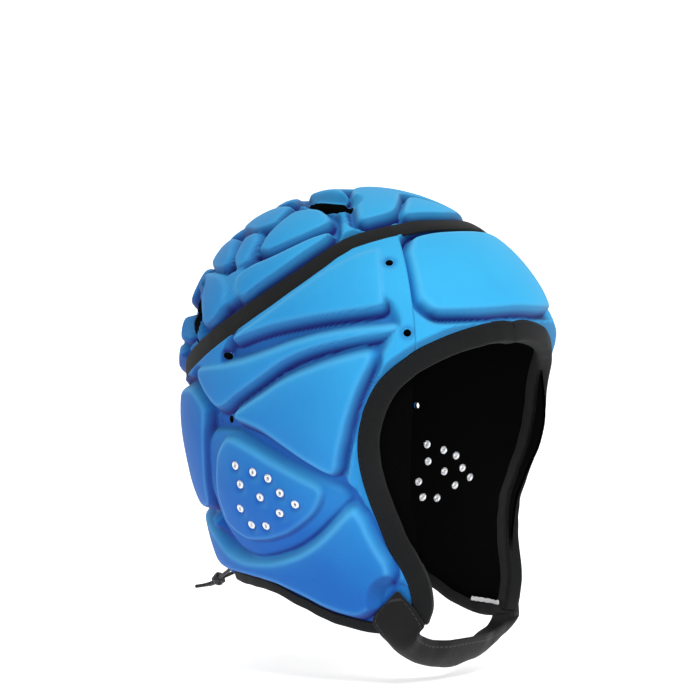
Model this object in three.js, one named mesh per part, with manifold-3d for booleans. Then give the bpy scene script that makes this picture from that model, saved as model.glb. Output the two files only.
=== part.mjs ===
// Rugby scrum cap with moulded foam pads, open at the face and tied at the nape.
// Millimetres, +Z up. The wearer faces -Y, with the right hand at -X.
// The origin is the middle of the head, level with the brow.

import * as THREE from 'three';
import { mergeVertices } from 'three/addons/utils/BufferGeometryUtils.js';
import Module from 'manifold-3d';

const wasm = await Module();
wasm.setup();

// The head that the cap fits, measured inside the lining: 580 round just above the brow
const HEAD_WIDTH = 162;
const HEAD_LENGTH = 206;
const CROWN_HEIGHT = 86;
const FLAP_DEPTH = 156;

// Layers, from the inside out
const LINING = 1.3;
const LAYER_GAP = 1;
const BASE_FOAM = 3;
const PAD_RISE = 7.2;
const EAR_RING_RISE = 3.6;
const PAD_LEAN = 3;
const PAD_ROOT = 1.5;
const PAD_STEP = 13;

// Tape, band, strap and joints
const TAPE = 1.3;
const TAPE_GAP = 0.6;
const TAPE_INNER_GAP = 2.1;
const FACE_TAPE_WIDTH = 10;
const HEM_TAPE_WIDTH = 6.2;
const BAND_WIDTH = 10;
const BAND = 2;
const STRAP = 2;
const STRAP_GAP = 1.2;
const CHIN_DEPTH = 169;
const SEAM = 0.8;

// Holes, eyelets and the lace
const VENT_HOLE = 4.2;
const EYELET_BORE = 2.2;
const EYELET_OUTER = 4.2;
const EYELET_CLEARANCE = 0.35;
const NAPE_SLIT = 14;
const LACE = 2.2;
const LACE_HOLE_INSET = 7;
const LACE_CLEARANCE = 0.5;
const KNOT = 7;

// Offsets of the faces from the inside of the lining
const PANEL_INSIDE = LINING + LAYER_GAP;
const PANEL_OUTSIDE = PANEL_INSIDE + BASE_FOAM;
const PAD_TOP = PANEL_OUTSIDE + PAD_RISE;
const EAR_RING_TOP = PANEL_OUTSIDE + EAR_RING_RISE;
const QUARTER_ARC = (Math.PI / 4) * (HEAD_LENGTH / 2 + CROWN_HEIGHT);
const SEAM_DROP = SEAM / 2 / QUARTER_ARC;
const SEAM_TURN = THREE.MathUtils.radToDeg(SEAM / HEAD_LENGTH);
const SLIT_TURN = 180 - THREE.MathUtils.radToDeg(NAPE_SLIT / HEAD_LENGTH);

// A place on the head is a turn in degrees from the front towards the wearer's right, and a drop:
// 0 at the top of the head, 1 level with the brow, and 2 FLAP_DEPTH below the brow.
// How full the dome is: one power for its sides, and how much it changes to front and back
const DOME_POWER = 1.02;
const DOME_LEAN = 0.1;

// Level rings below the brow, as shares of the half width, half length in front and behind
const NECK = [
  { down: 0.0, width: 1.0, front: 1.0, back: 1.0 },
  { down: 0.2, width: 1.0, front: 0.99, back: 0.985 },
  { down: 0.4, width: 0.95, front: 0.97, back: 0.93 },
  { down: 0.6, width: 0.82, front: 0.98, back: 0.84 },
  { down: 0.8, width: 0.7, front: 1.02, back: 0.77 },
  { down: 1.0, width: 0.6, front: 1.06, back: 0.72 },
];

// How far the temples stand out from those rings and the cheeks lie in, halfway from front to side
const TEMPLES = [
  { drop: 0.4, out: 0.8 },
  { drop: 0.6, out: 2.6 },
  { drop: 0.8, out: 4 },
  { drop: 1.0, out: 5.6 },
  { drop: 1.2, out: 8.6 },
  { drop: 1.3, out: 7 },
  { drop: 1.42, out: 0.5 },
  { drop: 1.52, out: -3 },
  { drop: 1.65, out: -3 },
  { drop: 1.8, out: -2 },
  { drop: 1.95, out: -2 },
];

// The joint between the crown and the lower panels, under the band
const BAND_LINE = [
  { turn: 0, drop: 0.415 },
  { turn: 20, drop: 0.418 },
  { turn: 40, drop: 0.447 },
  { turn: 60, drop: 0.508 },
  { turn: 80, drop: 0.677 },
  { turn: 100, drop: 0.838 },
  { turn: 120, drop: 0.966 },
  { turn: 132, drop: 1.026 },
  { turn: 144, drop: 1.09 },
  { turn: 160, drop: 1.12 },
  { turn: 180, drop: 1.13 },
];
const BAND_END = 132;

// The cut edge of the face opening, from the middle of the brow to the flap tip
const FACE_EDGE = [
  { turn: 0, drop: 0.9 },
  { turn: 16.6, drop: 0.908 },
  { turn: 30, drop: 0.948 },
  { turn: 40.8, drop: 1.012 },
  { turn: 48.4, drop: 1.1 },
  { turn: 51.9, drop: 1.215 },
  { turn: 52.1, drop: 1.314 },
  { turn: 50.4, drop: 1.426 },
  { turn: 47.2, drop: 1.586 },
  { turn: 43.9, drop: 1.671 },
  { turn: 41.8, drop: 1.759 },
  { turn: 42.4, drop: 1.84 },
  { turn: 45.2, drop: 1.895 },
];
const FOREHEAD_TURN = 40.8;

// The cut lower edge, from the flap tip to the nape; its tape stops short of the nape
const HEM_EDGE = [
  { turn: 45.2, drop: 1.895 },
  { turn: 62, drop: 1.925 },
  { turn: 76, drop: 1.9 },
  { turn: 87, drop: 1.852 },
  { turn: 100, drop: 1.806 },
  { turn: 112, drop: 1.795 },
  { turn: 130, drop: 1.79 },
  { turn: 142, drop: 1.765 },
  { turn: 160, drop: 1.757 },
  { turn: 180, drop: 1.755 },
];
const FACE_TAPE_END = 1.83;
const HEM_TAPE_START = 65;
const HEM_TAPE_END = 131;

// Pads of the side panel, in sections of one turn each, from the upper edge to the lower
const TEMPLE_PAD = [
  { turn: 49.5, upper: 0.55, lower: 0.785 },
  { turn: 58, upper: 0.58, lower: 0.8 },
  { turn: 67, upper: 0.634, lower: 0.815 },
  { turn: 76, upper: 0.71, lower: 0.834 },
  { turn: 85, upper: 0.787, lower: 0.856 },
  { turn: 93, upper: 0.852, lower: 0.884 },
  { turn: 100, upper: 0.9, lower: 0.912 },
];
const RIDGE_PAD = [
  { turn: 46, upper: 0.857, lower: 0.873 },
  { turn: 56, upper: 0.867, lower: 0.896 },
  { turn: 66, upper: 0.886, lower: 0.922 },
  { turn: 77, upper: 0.919, lower: 0.966 },
  { turn: 87, upper: 0.958, lower: 1.033 },
  { turn: 97, upper: 0.992, lower: 1.102 },
  { turn: 106, upper: 1.008, lower: 1.155 },
  { turn: 113, upper: 1.016, lower: 1.114 },
  { turn: 118.5, upper: 1.024, lower: 1.055 },
];
const CHEEK_PAD = [
  { turn: 53.5, upper: 0.951, lower: 0.985 },
  { turn: 57, upper: 0.96, lower: 1.09 },
  { turn: 61, upper: 0.973, lower: 1.25 },
  { turn: 64, upper: 0.984, lower: 1.342 },
  { turn: 71, upper: 1.013, lower: 1.315 },
  { turn: 80, upper: 1.055, lower: 1.264 },
  { turn: 88, upper: 1.106, lower: 1.222 },
  { turn: 95, upper: 1.15, lower: 1.2 },
  { turn: 99, upper: 1.175, lower: 1.19 },
];
const EAR_RING = [
  { turn: 61.5, upper: 1.42, lower: 1.44 },
  { turn: 67, upper: 1.388, lower: 1.492 },
  { turn: 74, upper: 1.358, lower: 1.556 },
  { turn: 82, upper: 1.325, lower: 1.616 },
  { turn: 92, upper: 1.277, lower: 1.656 },
  { turn: 101, upper: 1.236, lower: 1.673 },
  { turn: 110, upper: 1.236, lower: 1.654 },
  { turn: 116, upper: 1.295, lower: 1.61 },
  { turn: 120, upper: 1.44, lower: 1.56 },
];
const EAR_CUP = [
  { turn: 69.5, upper: 1.4, lower: 1.425 },
  { turn: 73, upper: 1.38, lower: 1.476 },
  { turn: 79, upper: 1.353, lower: 1.53 },
  { turn: 86, upper: 1.322, lower: 1.574 },
  { turn: 94, upper: 1.284, lower: 1.6 },
  { turn: 102, upper: 1.258, lower: 1.606 },
  { turn: 108, upper: 1.305, lower: 1.588 },
  { turn: 113.5, upper: 1.45, lower: 1.545 },
];
const JAW_PAD = [
  { turn: 53.8, upper: 1.68, lower: 1.725 },
  { turn: 57, upper: 1.6, lower: 1.775 },
  { turn: 60.5, upper: 1.47, lower: 1.825 },
  { turn: 67, upper: 1.53, lower: 1.862 },
  { turn: 76, upper: 1.612, lower: 1.838 },
  { turn: 85, upper: 1.663, lower: 1.792 },
  { turn: 95, upper: 1.69, lower: 1.757 },
  { turn: 107, upper: 1.697, lower: 1.745 },
  { turn: 119, upper: 1.68, lower: 1.742 },
  { turn: 131, upper: 1.617, lower: 1.735 },
  { turn: 145, upper: 1.56, lower: 1.72 },
  { turn: 158, upper: 1.545, lower: 1.715 },
];
const BACK_PAD = [
  { turn: 114.5, upper: 1.165, lower: 1.22 },
  { turn: 119, upper: 1.125, lower: 1.38 },
  { turn: 124.5, upper: 1.1, lower: 1.5 },
  { turn: 133, upper: 1.105, lower: 1.51 },
  { turn: 145, upper: 1.135, lower: 1.5 },
  { turn: 158, upper: 1.15, lower: 1.49 },
];
const FOREHEAD_PAD = [
  { turn: -38, upper: 0.565, lower: 0.755 },
  { turn: -33, upper: 0.5, lower: 0.803 },
  { turn: -17, upper: 0.474, lower: 0.8 },
  { turn: 0, upper: 0.469, lower: 0.793 },
  { turn: 17, upper: 0.474, lower: 0.8 },
  { turn: 33, upper: 0.5, lower: 0.803 },
  { turn: 38, upper: 0.565, lower: 0.755 },
];

// Pads and vents of the crown, seen from above: ahead is 1 at the brow in front and side is 1 at the
// temple. The first pads lie across the middle, in sections from the rear edge to the front one.
const FRONT_ARCH = [
  { side: -0.175, rear: 0.295, front: 0.322 },
  { side: -0.09, rear: 0.256, front: 0.346 },
  { side: 0, rear: 0.216, front: 0.36 },
  { side: 0.09, rear: 0.256, front: 0.346 },
  { side: 0.175, rear: 0.295, front: 0.322 },
];
const FORE_SADDLE = [
  { side: -0.33, rear: 0.205, front: 0.23 },
  { side: -0.22, rear: 0.115, front: 0.272 },
  { side: -0.1, rear: 0.015, front: 0.225 },
  { side: 0, rear: -0.025, front: 0.178 },
  { side: 0.1, rear: 0.015, front: 0.225 },
  { side: 0.22, rear: 0.115, front: 0.272 },
  { side: 0.33, rear: 0.205, front: 0.23 },
];
const TOP_PAD = [
  { side: -0.165, rear: -0.02, front: 0.04 },
  { side: -0.1, rear: -0.13, front: -0.02 },
  { side: 0, rear: -0.2, front: -0.075 },
  { side: 0.1, rear: -0.13, front: -0.02 },
  { side: 0.165, rear: -0.02, front: 0.04 },
];
const TOP_REAR_PAD = [
  { side: -0.18, rear: -0.235, front: -0.175 },
  { side: -0.09, rear: -0.32, front: -0.205 },
  { side: 0, rear: -0.355, front: -0.245 },
  { side: 0.09, rear: -0.32, front: -0.205 },
  { side: 0.18, rear: -0.235, front: -0.175 },
];
const REAR_PAD = [
  { side: -0.25, rear: -0.5, front: -0.42 },
  { side: -0.13, rear: -0.6, front: -0.4 },
  { side: 0, rear: -0.625, front: -0.4 },
  { side: 0.13, rear: -0.6, front: -0.4 },
  { side: 0.25, rear: -0.5, front: -0.42 },
];
const NAPE_TOP_PAD = [
  { turn: 163, upper: 0.74, lower: 1.03 },
  { turn: 171, upper: 0.68, lower: 1.075 },
  { turn: 180, upper: 0.67, lower: 1.08 },
  { turn: 189, upper: 0.68, lower: 1.075 },
  { turn: 197, upper: 0.74, lower: 1.03 },
];

// The others come in pairs, in sections from the inner edge to the outer one
const REAR_OBLONG = [
  { ahead: -0.34, inner: 0.2, outer: 0.29 },
  { ahead: -0.27, inner: 0.2, outer: 0.35 },
  { ahead: -0.19, inner: 0.23, outer: 0.4 },
  { ahead: -0.125, inner: 0.27, outer: 0.4 },
];
const SIDE_WEDGE = [
  { ahead: -0.12, inner: 0.455, outer: 0.54 },
  { ahead: -0.07, inner: 0.325, outer: 0.55 },
  { ahead: 0, inner: 0.318, outer: 0.515 },
  { ahead: 0.06, inner: 0.345, outer: 0.47 },
  { ahead: 0.11, inner: 0.385, outer: 0.415 },
];
const FINGER_FRONT = [
  { ahead: -0.25, inner: 0.425, outer: 0.54 },
  { ahead: -0.2, inner: 0.42, outer: 0.6 },
  { ahead: -0.158, inner: 0.48, outer: 0.59 },
];
const FINGER_REAR = [
  { ahead: -0.46, inner: 0.3, outer: 0.41 },
  { ahead: -0.41, inner: 0.31, outer: 0.48 },
  { ahead: -0.34, inner: 0.37, outer: 0.54 },
  { ahead: -0.29, inner: 0.5, outer: 0.56 },
];
const RIM_FRONT = [
  { ahead: -0.19, inner: 0.64, outer: 0.7 },
  { ahead: -0.13, inner: 0.61, outer: 0.742 },
  { ahead: -0.05, inner: 0.587, outer: 0.7 },
  { ahead: 0.03, inner: 0.54, outer: 0.642 },
  { ahead: 0.1, inner: 0.48, outer: 0.562 },
  { ahead: 0.15, inner: 0.44, outer: 0.485 },
];
const RIM_REAR = [
  { ahead: -0.47, inner: 0.47, outer: 0.53 },
  { ahead: -0.43, inner: 0.5, outer: 0.65 },
  { ahead: -0.38, inner: 0.54, outer: 0.775 },
  { ahead: -0.3, inner: 0.6, outer: 0.785 },
  { ahead: -0.24, inner: 0.67, outer: 0.745 },
];
const BACK_UPPER = [
  { turn: 148, upper: 0.66, lower: 0.775 },
  { turn: 153, upper: 0.645, lower: 0.795 },
  { turn: 158, upper: 0.665, lower: 0.78 },
];
const BACK_MIDDLE = [
  { turn: 131, upper: 0.905, lower: 0.922 },
  { turn: 136, upper: 0.872, lower: 0.925 },
  { turn: 145, upper: 0.843, lower: 0.925 },
  { turn: 155, upper: 0.85, lower: 0.915 },
];
const BACK_LOWER = [
  { turn: 136, upper: 0.962, lower: 1.02 },
  { turn: 142, upper: 0.95, lower: 1.05 },
  { turn: 150, upper: 0.95, lower: 1.065 },
  { turn: 156, upper: 0.965, lower: 1.06 },
];
const TOP_VENT = [
  { ahead: -0.165, inner: 0.112, outer: 0.124 },
  { ahead: -0.11, inner: 0.138, outer: 0.18 },
  { ahead: -0.05, inner: 0.17, outer: 0.226 },
  { ahead: 0.01, inner: 0.195, outer: 0.255 },
  { ahead: 0.065, inner: 0.21, outer: 0.268 },
  { ahead: 0.1, inner: 0.232, outer: 0.268 },
];
const BACK_VENT = [
  { turn: 127.5, upper: 0.89, lower: 0.915 },
  { turn: 130, upper: 0.805, lower: 0.893 },
  { turn: 133, upper: 0.752, lower: 0.862 },
  { turn: 137, upper: 0.765, lower: 0.826 },
  { turn: 140.5, upper: 0.782, lower: 0.798 },
];

// Round vent holes and the holes over the ear
const VENT_HOLES = [
  { turn: 45, drop: 0.58 },
  { turn: 43.4, drop: 0.868 },
  { turn: 107.2, drop: 0.971 },
  { turn: 104.7, drop: 1.203 },
];
const EAR_HOLES = [
  { turn: 99.6, drop: 1.343 },
  { turn: 92.4, drop: 1.361 },
  { turn: 86.7, drop: 1.379 },
  { turn: 98.6, drop: 1.407 },
  { turn: 90.9, drop: 1.441 },
  { turn: 83.1, drop: 1.423 },
  { turn: 78.7, drop: 1.455 },
  { turn: 84.9, drop: 1.489 },
  { turn: 101.4, drop: 1.485 },
  { turn: 98.3, drop: 1.541 },
  { turn: 91.6, drop: 1.54 },
];
const LACE_ROWS = [1.3, 1.45, 1.6, 1.7];

// The strap from the middle of the chin to the flap tip, one row for each section: its front edge,
// its middle and its rear edge, ahead as a share of the half length and down of CHIN_DEPTH
const STRAP_ROWS = [
  { side: 0.0, front: [0.74, 0.927], middle: [0.655, 0.985], rear: [0.561, 1.0] },
  { side: 0.185, front: [0.734, 0.928], middle: [0.646, 0.982], rear: [0.539, 0.978] },
  { side: 0.333, front: [0.709, 0.923], middle: [0.631, 0.97], rear: [0.51, 0.947] },
  { side: 0.46, front: [0.71, 0.908], middle: [0.626, 0.942], rear: [0.51, 0.922] },
  { side: 0.55, front: [0.742, 0.887], middle: [0.635, 0.909], rear: [0.528, 0.9] },
];

// The strap's end on the outside of the flap, each edge as a turn and a drop, up to its point
const STRAP_END = [
  { front: [44.8, 1.9], middle: [53, 1.918], rear: [61.3, 1.93] },
  { front: [47.6, 1.858], middle: [55, 1.868], rear: [62.8, 1.885] },
  { front: [50.7, 1.819], middle: [51.4, 1.818], rear: [52.1, 1.819] },
];

// The lace's free end, as chosen points behind the nape
const STRAND_POINTS = [
  [8.45, 87.4, -109.3],
  [8.8, 90.2, -110.6],
  [8.9, 92, -114],
  [8.5, 93.4, -119.5],
  [6.6, 98.5, -126.3],
  [1.85, 111.85, -133.2],
];
const TAIL_POINTS = [
  [1.6, 117, -136.4],
  [3.2, 123, -138.6],
  [4.4, 130, -140],
];
const KNOT_AT = [0, 114.5, -134.5];

// Smooth value of one column of a table at a value of another, without overshoot
function valueAt(rows, key, column, at) {
  const x = rows.map((row) => row[key]);
  const y = rows.map((row) => row[column]);
  const last = x.length - 1;
  const place = THREE.MathUtils.clamp(at, x[0], x[last]);
  let k = 0;
  while (k < last - 1 && place > x[k + 1]) {
    k += 1;
  }
  const slope = (n) => (y[n + 1] - y[n]) / (x[n + 1] - x[n]);
  const tangent = (n) => {
    if (n === 0) return slope(0);
    if (n === last) return slope(last - 1);
    const product = slope(n - 1) * slope(n);
    return product > 0 ? (2 * product) / (slope(n - 1) + slope(n)) : 0;
  };
  const span = x[k + 1] - x[k];
  const t = (place - x[k]) / span;
  const start = (1 - t) ** 2 * ((1 + 2 * t) * y[k] + t * span * tangent(k));
  const end = t ** 2 * ((3 - 2 * t) * y[k + 1] - (1 - t) * span * tangent(k + 1));
  return start + end;
}

// A spot holds the drop split by the turn: x to the wearer's right, y ahead
function spotAt(turn, drop) {
  const angle = THREE.MathUtils.degToRad(turn);
  return new THREE.Vector2(drop * Math.sin(angle), drop * Math.cos(angle));
}

// The inside of the lining
function form(side, ahead) {
  const drop = Math.hypot(side, ahead);
  const turn = Math.atan2(side, ahead);
  const over = (Math.min(drop, 1) * Math.PI) / 2;
  const down = Math.max(drop - 1, 0);
  const fullness = Math.sin(over) ** (DOME_POWER + DOME_LEAN * Math.cos(turn));
  const half = Math.cos(turn) > 0 ? 'front' : 'back';
  const across = (HEAD_WIDTH / 2) * fullness * valueAt(NECK, 'down', 'width', down);
  const along = (HEAD_LENGTH / 2) * fullness * valueAt(NECK, 'down', half, down);
  const up = CROWN_HEIGHT * Math.cos(over) - FLAP_DEPTH * down;
  const corner = Math.cos(turn) > 0 ? Math.sin(2 * turn) ** 2 : 0;
  const out = corner * valueAt(TEMPLES, 'drop', 'out', drop);
  return new THREE.Vector3(-(across + out) * Math.sin(turn), -(along + out) * Math.cos(turn), up);
}

// The form at a spot, with its two slopes and its normal
function surface(spot) {
  const step = 0.01;
  const sideways = form(spot.x + step, spot.y).sub(form(spot.x - step, spot.y)).divideScalar(2 * step);
  const forward = form(spot.x, spot.y + step).sub(form(spot.x, spot.y - step)).divideScalar(2 * step);
  const normal = new THREE.Vector3().crossVectors(sideways, forward).normalize();
  return { point: form(spot.x, spot.y), sideways, forward, normal };
}

function lift(spot, height) {
  const { point, normal } = surface(spot);
  return point.addScaledVector(normal, height);
}

// The spot reached from another by a small move in millimetres along the surface
function slide(spot, move) {
  const { sideways, forward } = surface(spot);
  const ss = sideways.dot(sideways);
  const sf = sideways.dot(forward);
  const ff = forward.dot(forward);
  const ms = move.dot(sideways);
  const mf = move.dot(forward);
  const scale = 1 / (ss * ff - sf * sf);
  return new THREE.Vector2(spot.x + (ms * ff - mf * sf) * scale, spot.y + (mf * ss - ms * sf) * scale);
}

// A closed mesh as a solid with its faces outwards
function solidOf(geometry) {
  geometry.deleteAttribute('normal');
  geometry.deleteAttribute('uv');
  const merged = mergeVertices(geometry);
  const corners = merged.index.array;
  const faces = [];
  for (let i = 0; i < corners.length; i += 3) {
    const [a, b, c] = corners.slice(i, i + 3);
    if (a !== b && b !== c && c !== a) {
      faces.push([a, b, c]);
    }
  }
  const at = (n) => new THREE.Vector3().fromBufferAttribute(merged.attributes.position, n);
  const volume = faces.reduce((sum, [a, b, c]) => sum + at(a).cross(at(b)).dot(at(c)), 0);
  const outward = volume > 0 ? faces : faces.map(([a, b, c]) => [a, c, b]);
  return new wasm.Manifold(new wasm.Mesh({
    numProp: 3,
    vertProperties: new Float32Array(merged.attributes.position.array),
    triVerts: new Uint32Array(outward.flat()),
  }));
}

// A solid through rings of points, closed by caps at both ends or joined end to end
function loft(rings, caps) {
  const size = rings[0].length;
  const faces = [];
  const spans = caps ? rings.length - 1 : rings.length;
  for (let i = 0; i < spans; i += 1) {
    const here = i * size;
    const next = ((i + 1) % rings.length) * size;
    for (let k = 0; k < size; k += 1) {
      const after = (k + 1) % size;
      faces.push([here + k, here + after, next + after], [here + k, next + after, next + k]);
    }
  }
  if (caps) {
    const end = (rings.length - 1) * size;
    caps.forEach(([a, b, c]) => faces.push([c, b, a], [end + a, end + b, end + c]));
  }
  const geometry = new THREE.BufferGeometry().setFromPoints(rings.flat());
  geometry.setIndex(faces.flat());
  return solidOf(geometry);
}

// Caps of a ring that runs out along one side and back along the other
function stripCaps(count) {
  const caps = [];
  for (let k = 0; k < count - 1; k += 1) {
    const back = 2 * count - 1 - k;
    caps.push([k, k + 1, back - 1], [k, back - 1, back]);
  }
  return caps;
}

// Caps of a ring with any outline, given flat
function outlineCaps(outline) {
  const turned = THREE.ShapeUtils.area(outline) < 0;
  return THREE.ShapeUtils.triangulateShape(outline, []).map(([a, b, c]) => {
    const corner = [outline[a], outline[b], outline[c]];
    return THREE.ShapeUtils.area(corner) < 0 === turned ? [a, b, c] : [a, c, b];
  });
}

// A shell of the form between two offsets, over a net of spots: net(u, v), both from 0 to 1
function shell(net, columns, rows, inside, outside, round) {
  const rings = [];
  const count = round ? columns : columns + 1;
  for (let i = 0; i < count; i += 1) {
    const spots = [];
    for (let j = 0; j <= rows; j += 1) {
      spots.push(net(i / columns, j / rows));
    }
    const outer = spots.map((spot) => lift(spot, outside));
    const inner = spots.map((spot) => lift(spot, inside)).reverse();
    rings.push([...outer, ...inner]);
  }
  return loft(rings, round ? null : stripCaps(rows + 1));
}

const mirrored = (turn) => (turn > 180 ? 360 - turn : Math.abs(turn));
const bandDrop = (turn) => valueAt(BAND_LINE, 'turn', 'drop', mirrored(turn));
const hemDrop = (turn) => valueAt(HEM_EDGE, 'turn', 'drop', mirrored(turn));

// The whole head from the top to the hem; every layer shares this net, so its facets nest
const TURNS = 32;
const ROWS = 19;
function bowl(inside, outside) {
  const net = (u, v) => spotAt(360 * u, v * hemDrop(360 * u));
  return shell(net, TURNS, ROWS, inside, outside, true);
}

const HANDS = [{ name: 'right', hand: 1 }, { name: 'left', hand: -1 }];
const BOTH = [1, -1];
const handed = (rows, hand) => rows.map((row) => spotAt(hand * row.turn, row.drop));

// Cutting solids, from well inside the cap to well outside it
const CUT_INSIDE = -8;
const CUT_OUTSIDE = 24;

function crownCut(margin) {
  const net = (u, v) => spotAt(360 * u, v * (bandDrop(360 * u) + margin));
  return shell(net, 2 * TURNS, 4, CUT_INSIDE, CUT_OUTSIDE, true);
}

function wedgeCut(fromTurn, toTurn, toDrop) {
  const fromDrop = 0.3;
  const net = (u, v) => {
    const turn = THREE.MathUtils.lerp(fromTurn, toTurn, u);
    return spotAt(turn, THREE.MathUtils.lerp(fromDrop, toDrop, v));
  };
  return shell(net, 12, 8, CUT_INSIDE, CUT_OUTSIDE, false);
}

// The cut edge of the face opening, as spots from the left flap's tape end to the right one's
const FACE_STEPS = 60;
function faceLine() {
  const kept = FACE_EDGE.filter((row) => row.drop < FACE_TAPE_END);
  const spots = [...handed(kept, -1).reverse(), ...handed(kept.slice(1), 1)];
  const points = spots.map(({ x, y }) => new THREE.Vector3(x, y, 0));
  const curve = new THREE.CatmullRomCurve3(points, false, 'centripetal');
  return curve.getSpacedPoints(FACE_STEPS).map(({ x, y }) => new THREE.Vector2(x, y));
}

function faceCut() {
  const tip = FACE_EDGE[FACE_EDGE.length - 1];
  const beyond = [tip, { turn: tip.turn, drop: 2.1 }];
  const edge = [...handed(beyond, -1).reverse(), ...faceLine(), ...handed(beyond, 1)];
  const last = edge.length - 1;
  const net = (u, v) => {
    const spot = edge[Math.round(u * last)];
    const middle = new THREE.Vector2(0, THREE.MathUtils.lerp(1.15, 2.3, Math.abs(2 * u - 1)));
    return spot.clone().lerp(middle, v);
  };
  return shell(net, last, 6, CUT_INSIDE, CUT_OUTSIDE, false);
}

// Spots of a pad's section edges, by the column that the sections follow
const TO_SPOT = {
  turn: (turn, drop) => spotAt(turn, drop),
  side: (side, ahead) => new THREE.Vector2(side, ahead),
  ahead: (ahead, side) => new THREE.Vector2(side, ahead),
};

// A moulded pad through its sections: a flat top, and walls that lean out to a foot in the base foam
function padSolid({ rows, hand, top }) {
  const [key, first, second] = Object.keys(rows[0]);
  const toKey = key === 'turn' ? 90 : 1;
  const root = PANEL_OUTSIDE - PAD_ROOT;
  const lean = PAD_LEAN / QUARTER_ARC;
  const widest = Math.max(...rows.map((row) => row[second] - row[first]));
  const spans = Math.ceil((widest * QUARTER_ARC) / PAD_STEP);
  const ring = (at, spread, height) => {
    const from = valueAt(rows, key, first, at);
    const to = valueAt(rows, key, second, at);
    const strip = (more, level) => Array.from({ length: spans + 1 }, (unused, i) => {
      const spot = TO_SPOT[key](at, THREE.MathUtils.lerp(from - more, to + more, i / spans));
      return lift(new THREE.Vector2(hand * spot.x, spot.y), level);
    });
    return [...strip(0, height), ...strip(spread, root).reverse()];
  };
  const start = rows[0][key];
  const end = rows[rows.length - 1][key];
  const steps = Math.max(3, Math.round(((end - start) * QUARTER_ARC) / toKey / PAD_STEP));
  const low = (root + PANEL_OUTSIDE) / 2;
  const rings = [ring(start - (lean * toKey) / 2, 0, low)];
  for (let i = 0; i <= steps; i += 1) {
    rings.push(ring(THREE.MathUtils.lerp(start, end, i / steps), lean, top));
  }
  rings.push(ring(end + (lean * toKey) / 2, 0, low));
  return loft(rings, stripCaps(spans + 1));
}

// A panel's base with its pads moulded on
const mould = (base, pads) => pads.map(padSolid).reduce((all, pad) => all.add(pad), base);

function ventPrism(rows, hand) {
  const [key, first, second] = Object.keys(rows[0]);
  const edge = (column) => rows.map((row) => TO_SPOT[key](row[key], row[column]));
  const outline = [...edge(first), ...edge(second).reverse()]
    .map((spot) => new THREE.Vector2(hand * spot.x, spot.y));
  const rings = [CUT_INSIDE, CUT_OUTSIDE].map((height) => outline.map((spot) => lift(spot, height)));
  return loft(rings, outlineCaps(outline));
}

// A geometry made round the Y axis, stood on the form at a spot
function standOn(geometry, spot, height) {
  const { normal } = surface(spot);
  const up = new THREE.Vector3(0, 1, 0);
  geometry.applyQuaternion(new THREE.Quaternion().setFromUnitVectors(up, normal));
  const foot = lift(spot, height);
  return geometry.translate(foot.x, foot.y, foot.z);
}

// A hole with flat sides that clears a round diameter
const HOLE_SIDES = 6;
function drill(spot, diameter) {
  const radius = diameter / 2 / Math.cos(Math.PI / HOLE_SIDES);
  const geometry = new THREE.CylinderGeometry(radius, radius, CUT_OUTSIDE - CUT_INSIDE, HOLE_SIDES);
  return solidOf(standOn(geometry, spot, (CUT_INSIDE + CUT_OUTSIDE) / 2));
}

function vents() {
  const slots = BOTH.flatMap((hand) => [ventPrism(TOP_VENT, hand), ventPrism(BACK_VENT, hand)]);
  const spots = BOTH.flatMap((hand) => handed(VENT_HOLES, hand));
  return [...slots, ...spots.map((spot) => drill(spot, VENT_HOLE))];
}

function earHoles(hand) {
  const diameter = EYELET_OUTER + 2 * EYELET_CLEARANCE;
  return handed(EAR_HOLES, hand).map((spot) => drill(spot, diameter));
}

const cutAll = (solid, cuts) => cuts.reduce((rest, cut) => rest.subtract(cut), solid);

function crownPanel() {
  const across = [FRONT_ARCH, FORE_SADDLE, TOP_PAD, TOP_REAR_PAD, REAR_PAD, NAPE_TOP_PAD];
  const paired = [REAR_OBLONG, SIDE_WEDGE, FINGER_FRONT, FINGER_REAR, RIM_FRONT, RIM_REAR,
    BACK_UPPER, BACK_MIDDLE, BACK_LOWER];
  const pads = [
    ...across.map((rows) => ({ rows, hand: 1, top: PAD_TOP })),
    ...BOTH.flatMap((hand) => paired.map((rows) => ({ rows, hand, top: PAD_TOP }))),
  ];
  const base = bowl(PANEL_INSIDE, PANEL_OUTSIDE).intersect(crownCut(-SEAM_DROP));
  return cutAll(mould(base, pads), vents());
}

function foreheadPanel() {
  const edge = FOREHEAD_TURN - SEAM_TURN;
  const base = bowl(PANEL_INSIDE, PANEL_OUTSIDE)
    .intersect(wedgeCut(-edge, edge, 1.2))
    .subtract(crownCut(SEAM_DROP))
    .subtract(faceCut());
  return mould(base, [{ rows: FOREHEAD_PAD, hand: 1, top: PAD_TOP }]);
}

function sidePanel(hand) {
  const wedge = wedgeCut(hand * (FOREHEAD_TURN + SEAM_TURN), hand * SLIT_TURN, 2.1);
  const base = bowl(PANEL_INSIDE, PANEL_OUTSIDE)
    .intersect(wedge)
    .subtract(crownCut(SEAM_DROP))
    .subtract(faceCut());
  const pads = [TEMPLE_PAD, RIDGE_PAD, CHEEK_PAD, EAR_CUP, JAW_PAD, BACK_PAD]
    .map((rows) => ({ rows, hand, top: PAD_TOP }));
  const ring = { rows: EAR_RING, hand, top: EAR_RING_TOP };
  const holes = handed(VENT_HOLES, hand).map((spot) => drill(spot, VENT_HOLE));
  const laceHoles = laceSpots(hand).map((spot) => drill(spot, LACE + 2 * LACE_CLEARANCE));
  return cutAll(mould(base, [...pads, ring]), [...holes, ...earHoles(hand), ...laceHoles]);
}

function lining() {
  const layer = bowl(0, LINING).subtract(faceCut());
  return cutAll(layer, [...vents(), ...earHoles(1), ...earHoles(-1)]);
}

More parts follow.
